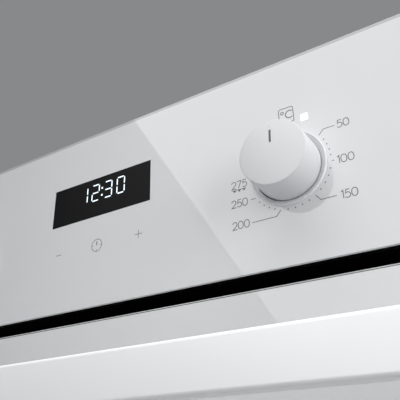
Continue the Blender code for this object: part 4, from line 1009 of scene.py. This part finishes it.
WOOL = dull("mineral wool", (0.62, 0.55, 0.36), 0.95, 55, 0.9, 0.7, 0.004)
SEAL = braid()
CERAMIC = dull("glazed ceramic", (0.80, 0.78, 0.72), 0.35, 90, 0.08, 0.93)
BLACK_MOULDING = dull("black moulding", (0.014, 0.014, 0.015), 0.5, 1400, 0.12, 0.7, 0.00005)
PITCH_BLACK = dull("matt black carrier", (0.004, 0.004, 0.0045), 0.75, 900, 0.1, 0.7, 0.00005,
                   Specular_IOR_Level=0.15)
BOARD = dull("circuit board lacquer", (0.010, 0.070, 0.030), 0.3, 300, 0.05, 0.6)
LENS_GLASS = tinted("lamp lens glass", (0.72, 0.74, 0.70), 0.42, 0.08)

# %% Finishes for the solids
WORN_BY = {
    GALVANISED: "base_panel left_side_panel right_side_panel top_cover rear_panel",
    ENAMEL: "front_frame cavity_shell fan_cover baking_tray",
    WOOL: "insulation_wrap", SEAL: "cavity_gasket", SHEATH: "ring_heater grill_heater base_heater",
    CHROME: "left_shelf_support right_shelf_support wire_shelf",
    PLATED: "fan_motor temperature_probe blower_housing blower_motor air_duct hinge_arm_left "
            "hinge_arm_right door_hinge_left door_hinge_right",
    TURNED: "function_shaft temperature_shaft convection_fan",
    CERAMIC: "lamp_housing terminal_block", LENS_GLASS: "lamp_lens", GLASS_WHITE: "control_glass",
    UNLIT: "function_lamp", LIT_LAMP: "temperature_lamp", PITCH_BLACK: "panel_carrier",
    BLACK_MOULDING: "display_module function_switch thermostat_body terminal_cover function_sleeve "
                    "temperature_sleeve blower_impeller",
    BOARD: "touch_board", SMOKED: "display_window", RING_WHITE: "function_bezel temperature_bezel",
    DOOR_WINDOW: "door_outer_glass", CLEAR: "door_middle_glass door_inner_glass",
    LACQUERED: "door_left_stile door_right_stile door_top_trim door_bottom_rail",
    HANDLE_WHITE: "handle_bar handle_post_left handle_post_right",
    KNOB_WHITE: "function_knob temperature_knob"}
dressed = 0
for look, names in WORN_BY.items():
    for name in names.split():
        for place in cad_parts[name].material_slots:
            place.material = look
        dressed += 1
print(dressed, "of", len(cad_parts), "solids have a finish")

# %% [markdown]
# Small fixings make sheet metal believable. A screw is a turned pan head with a crossed slot: it
# is modelled once for each set, and each copy has a mesh of its own, turned so that it points out
# of its wall.

# %% Screws
def screw_head(radius):
    """A pan head lying in the plane z = 0 with a crossed slot in it."""
    tall, sunk = radius * 0.55, 0.2 * MM
    turns = [math.radians(t) for t in range(0, 91, 18)]
    profile = [(radius * math.sin(t), tall * math.cos(t)) for t in turns]
    profile += [(radius * 0.97, -sunk), (0.0, -sunk)]
    head = spun("screw_head", profile, (0, 0, 0), 20, (0, 0, 1))
    thin, long = radius * 0.13, radius * 0.55
    for wide, deep in ((thin, long), (long, thin)):
        cut_away(head, [block("slot", (-wide, -deep, tall * 0.45), (wide, deep, tall * 2))])
    return smooth(head, 40)


def screws(name, places, out, radius=3.0 * MM, body="casing", look=PLATED):
    """A set of screws whose heads face along out."""
    master = screw_head(radius)
    turn = Vector((0, 0, 1)).rotation_difference(Vector(out)).to_matrix().to_4x4()
    heads = []
    for k, place in enumerate(places):
        head = added("screw", master.data.copy())
        head.data.transform(Matrix.Translation(place) @ turn @ Matrix.Rotation(0.7 * k, 4, "Z"))
        heads.append(head)
    bpy.data.objects.remove(master)
    dress(joined(name, heads), look, body)


def corners(low, high, inset):
    return [(a, b) for a in (low[0] + inset, high[0] - inset) for b in (low[1] + inset, high[1] - inset)]


REAR_INSET, TOP_INSET, SIDE_INSET, SIDE_SETBACK = 16 * MM, 14 * MM, 15 * MM, 30 * MM
SIDES = (("left", -1), ("right", 1))
rear_low, rear_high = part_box("rear_panel")
spots = corners((rear_low.x, rear_low.z), (rear_high.x, rear_high.z), REAR_INSET)
spots += [(0.0, rear_low.z + REAR_INSET), (0.0, rear_high.z - REAR_INSET)]
screws("rear_screws", [(x, rear_high.y, z) for x, z in spots], (0, 1, 0))
top_low, top_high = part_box("top_cover")
spots = corners((top_low.x, top_low.y), (top_high.x, top_high.y), TOP_INSET)
screws("top_screws", [(x, y, top_high.z) for x, y in spots], (0, 0, 1))
for side, turn in SIDES:
    low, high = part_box(f"{side}_side_panel")
    spots = corners((low.y + SIDE_SETBACK, low.z), (high.y, high.z), SIDE_INSET)
    screws(f"{side}_side_screws", [(turn * rear_high.x, y, z) for y, z in spots], (turn, 0, 0))

# %% [markdown]
# Large sheets are stiffened with long pressed ribs. A rib is a flat slab with round ends whose
# outer edge is rounded, so that it swells out of the sheet like a pressing.

# %% Pressed ribs
RIB_HEIGHT, RIB_HALF = 1.6 * MM, 7 * MM


def rib(low, high, wall, axis, outward):
    """A rib between two corners in a wall's plane; axis is the wall's normal."""
    outline = []
    for spot in rounded(low, high, RIB_HALF * 0.999, 6):
        place = list(spot)
        place.insert(axis, wall)
        outline.append(place)
    step = [RIB_HEIGHT * outward if k == axis else 0.0 for k in range(3)]
    piece = drawn_out("rib", outline, step)
    with picked(piece, "FACE", lambda f: f.normal[axis] * outward > 0.9):
        bpy.ops.mesh.bevel(offset=RIB_HEIGHT * 0.9, segments=3, affect="EDGES")
    return smooth(piece, 50)


SIDE_RIB_FRONT, SIDE_RIB_BACK, SIDE_RIB_RISE = 0.10, 0.07, 0.13
REAR_RIB_END, REAR_RIB_ASIDE = 0.12, 0.09
for side, turn in SIDES:
    low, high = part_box(f"{side}_side_panel")
    ribs = [rib((low.y + SIDE_RIB_FRONT, z - RIB_HALF), (high.y - SIDE_RIB_BACK, z + RIB_HALF),
                turn * rear_high.x, 0, turn)
            for z in (low.z + SIDE_RIB_RISE, (low.z + high.z) / 2, high.z - SIDE_RIB_RISE)]
    dress(joined(f"{side}_side_ribs", ribs), GALVANISED, "casing")
ribs = [rib((x - RIB_HALF, rear_low.z + REAR_RIB_END), (x + RIB_HALF, rear_high.z - REAR_RIB_END),
            rear_high.y, 1, 1)
        for x in (rear_low.x + REAR_RIB_ASIDE, rear_high.x - REAR_RIB_ASIDE)]
dress(joined("rear_ribs", ribs), GALVANISED, "casing")

# %% [markdown]
# The lamp's glass has raised rings that spread its light: each is a closed round wire of glass.
# Small screws hold the fan cover, the front frame and the sides of the door.


# %% The oven lamp
LENS_RINGS, LENS_LIFT, LENS_WIRE = (0.45, 0.66, 0.87), 0.1 * MM, 0.55 * MM


def lens_rings():
    low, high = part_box("lamp_lens")
    centre = (low + high) / 2
    radius = min(high.x - low.x, high.z - low.z) * 0.5
    rings = []
    for share in LENS_RINGS:
        turns = [math.tau * k / 40 for k in range(40)]
        circle = [(centre.x + radius * share * math.cos(t), low.y - LENS_LIFT,
                   centre.z + radius * share * math.sin(t)) for t in turns]
        rings.append(bent_wire("lens_ring", circle, LENS_WIRE, closed=True))
    dress(joined("lamp_lens_ribs", rings), LENS_GLASS, "casing")


lens_rings()

# %% Screws on the enamel and the door
SHEET_INSET, STILE_INSET = 10 * MM, 30 * MM
SMALL_HEAD, MEDIUM_HEAD = 2.6 * MM, 2.8 * MM
FRAME_SCREW_RISES = (0.12, 0.30, 0.44)
low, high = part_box("fan_cover")
spots = corners((low.x, low.z), (high.x, high.z), SHEET_INSET)
screws("fan_cover_screws", [(x, low.y, z) for x, z in spots], (0, -1, 0), SMALL_HEAD)
low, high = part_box("front_frame")
spots = [(turn * (high.x - SHEET_INSET), z) for side, turn in SIDES for z in FRAME_SCREW_RISES]
screws("front_frame_screws", [(x, low.y, z) for x, z in spots], (0, -1, 0), MEDIUM_HEAD)
for side, turn in SIDES:
    low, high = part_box(f"door_{side}_stile")
    x = (low.x + high.x) / 2
    screws(f"door_{side}_screws", [(x, high.y, z) for z in (low.z + STILE_INSET, high.z - STILE_INSET)],
           (0, 1, 0), SMALL_HEAD, "door", LACQUERED)

# %% [markdown]
# The shelf and its side supports are welded from round wire. A wire is a path with a round bevel:
# the shelf's rim is a closed loop with thin wires across it, and each support carries a narrow
# loop for every level, welded to three uprights.

# %% Wire shelf
RIM_WIRE, MIDDLE_WIRE, CROSS_WIRE, CROSS_COUNT = 2.5 * MM, 2.0 * MM, 1.4 * MM, 14
RIM_RADIUS = 7 * MM


def wire_shelf():
    low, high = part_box("wire_shelf")
    z = (low.z + high.z) / 2
    rim = rounded((low.x + RIM_WIRE, low.y + RIM_WIRE), (high.x - RIM_WIRE, high.y - RIM_WIRE),
                  RIM_RADIUS, 5)
    wires = [bent_wire("rim", [(x, y, z) for x, y in rim], RIM_WIRE, closed=True)]
    pitch = (high.x - low.x - 2 * RIM_WIRE) / (CROSS_COUNT + 1)
    for k in range(CROSS_COUNT):
        x = low.x + RIM_WIRE + pitch * (k + 1)
        ends_y = (low.y + RIM_WIRE, high.y - RIM_WIRE)
        wires.append(bent_wire("across", [(x, y, z) for y in ends_y], CROSS_WIRE))
    middle = (low.y + high.y) / 2
    ends_x = (low.x + RIM_WIRE, high.x - RIM_WIRE)
    wires.append(bent_wire("middle", [(x, middle, z) for x in ends_x], MIDDLE_WIRE))
    dress(joined("wire_shelf_wires", wires), CHROME, "casing", ("wire_shelf",))


wire_shelf()

# %% Shelf supports
LEVELS, FIRST_LEVEL, LEVEL_PITCH = 5, 112 * MM, 60 * MM
LOOP_HEIGHT, LOOP_RADIUS, LOOP_GAP, GUIDE_WIRE = 14.5 * MM, 5 * MM, 2.5 * MM, 2.0 * MM
POST_INSET = 12 * MM


def support(side, turn):
    node = f"{side}_shelf_support"
    low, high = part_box(node)
    wall, inner = (low.x, high.x) if turn < 0 else (high.x, low.x)
    post_x, loop_x = wall - turn * GUIDE_WIRE, inner + turn * LOOP_GAP
    wires = []
    for y in (low.y + POST_INSET, (low.y + high.y) / 2, high.y - POST_INSET):
        wires.append(bent_wire("post", [(post_x, y, low.z), (post_x, y, high.z)], GUIDE_WIRE))
    for level in range(LEVELS):
        foot = FIRST_LEVEL + LEVEL_PITCH * level - GUIDE_WIRE
        begin, end = (low.y + GUIDE_WIRE, foot), (high.y - GUIDE_WIRE, foot + LOOP_HEIGHT)
        loop = rounded(begin, end, LOOP_RADIUS, 5)
        wires.append(bent_wire("loop", [(loop_x, y, z) for y, z in loop], GUIDE_WIRE, closed=True))
    dress(joined(f"{side}_support_wires", wires), CHROME, "casing", (node,))


for side, turn in SIDES:
    support(side, turn)

# %% [markdown]
# The room is plain: a pale floor, an even sky and a few large lights. The camera stands to the
# right of the temperature knob and below it, and looks up to the left with a slight roll. Its
# place is given from the knob.

# %% Camera
AIM = Vector((KNOB_X, FRONT, KNOB_Z))
CAMERA_FROM_KNOB = Vector((75.75, -203.84, -118.17)) * MM
RIGHTWARDS, AHEAD = Vector((0.85049, 0.52544, -0.02399)), Vector((-0.46434, 0.77145, 0.43503))
LENS, SENSOR = 48.46, 36


def camera():
    bpy.ops.object.camera_add()
    made = bpy.context.object
    made.name = "close_up_camera"
    made.data.lens = LENS
    made.data.sensor_width = SENSOR
    made.data.clip_start = 0.01
    up = RIGHTWARDS.cross(AHEAD)
    turn = Matrix((RIGHTWARDS, up, -AHEAD)).transposed().to_4x4()
    made.matrix_world = Matrix.Translation(AIM + CAMERA_FROM_KNOB) @ turn
    bpy.context.scene.camera = made


camera()


# %% Floor and light
def floor():
    finish = Finish("pale floor", (0.50, 0.50, 0.50), 0.6)
    finish.waver(1.5, 0.98)
    only()
    bpy.ops.mesh.primitive_plane_add(size=14, location=(0, 0, min(0.0, cad_box[0][2])))
    piece = settle("floor")
    piece.data.materials.append(finish.material)


def soft_light(name, place, size, power):
    """A large lamp that faces the knob; it isn't seen itself, nor in what shines."""
    bpy.ops.object.light_add(type="AREA", location=place)
    lamp = bpy.context.object
    lamp.name = name
    lamp.data.shape = "RECTANGLE"
    lamp.data.size, lamp.data.size_y = size
    lamp.data.energy = power
    lamp.rotation_euler = (AIM - Vector(place)).to_track_quat("-Z", "Y").to_euler()
    lamp.visible_glossy = False
    lamp.visible_camera = False


def sky(strength):
    world = bpy.data.worlds.new("even sky")
    world.use_nodes = True
    back = world.node_tree.nodes["Background"]
    back.inputs["Color"].default_value = (0.96, 0.98, 1.0, 1)
    back.inputs["Strength"].default_value = strength
    bpy.context.scene.world = world


CARD_Y = -2.2


def card(name, outline, strength, axis, begin, end, least):
    """A bright panel far off in the room, seen only in what shines. Its light fades along an axis
    from full at one place to a least share at another; places count from the knob."""
    piece = line_of(name, [(x + KNOB_X, CARD_Y, z + KNOB_Z) for x, z in outline], closed=True)
    with picked(piece, "EDGE", lambda e: True):
        bpy.ops.mesh.edge_face_add()
    finish = Finish(name, (0, 0, 0), 1.0)
    place = finish.node("ShaderNodeSeparateXYZ", {}, {0: finish.place()}, out=axis)
    centre = KNOB_X if axis == "X" else KNOB_Z
    fading = finish.ramp(place, centre + end, centre + begin)
    tone = finish.mix(fading, (least, least, least * 1.01, 1), (1, 1, 1, 1))
    finish.set("Emission Color", tone)
    finish.set("Emission Strength", strength)
    piece.data.materials.append(finish.material)
    piece.visible_camera = False
    piece.visible_diffuse = False
    piece.visible_shadow = False


EDGE_TOP, EDGE_FOOT = (-2.95, 3.75), (-0.40, -0.43)
FAR_RIGHT, FAR_LEFT = 1.3, -3.4
card("bright_card", [EDGE_TOP, EDGE_FOOT, (FAR_RIGHT, EDGE_FOOT[1]), (FAR_RIGHT, EDGE_TOP[1])],
     3.6, "Z", 2.1, 0.3, 0.95)
card("dim_card", [EDGE_TOP, EDGE_FOOT, (FAR_LEFT, EDGE_FOOT[1]), (FAR_LEFT, EDGE_TOP[1])],
     1.6, "X", -1.45, -2.9, 0.0)
floor()
sky(0.255)
soft_light("high_light", (0.15, -0.45, 2.30), (2.4, 1.5), 43)
soft_light("right_light", (1.25, -0.32, 0.80), (0.9, 0.9), 12.5)
soft_light("left_light", (-2.6, -0.6, 1.2), (1.6, 1.6), 8)
bpy.context.scene.view_settings.view_transform = "Standard"
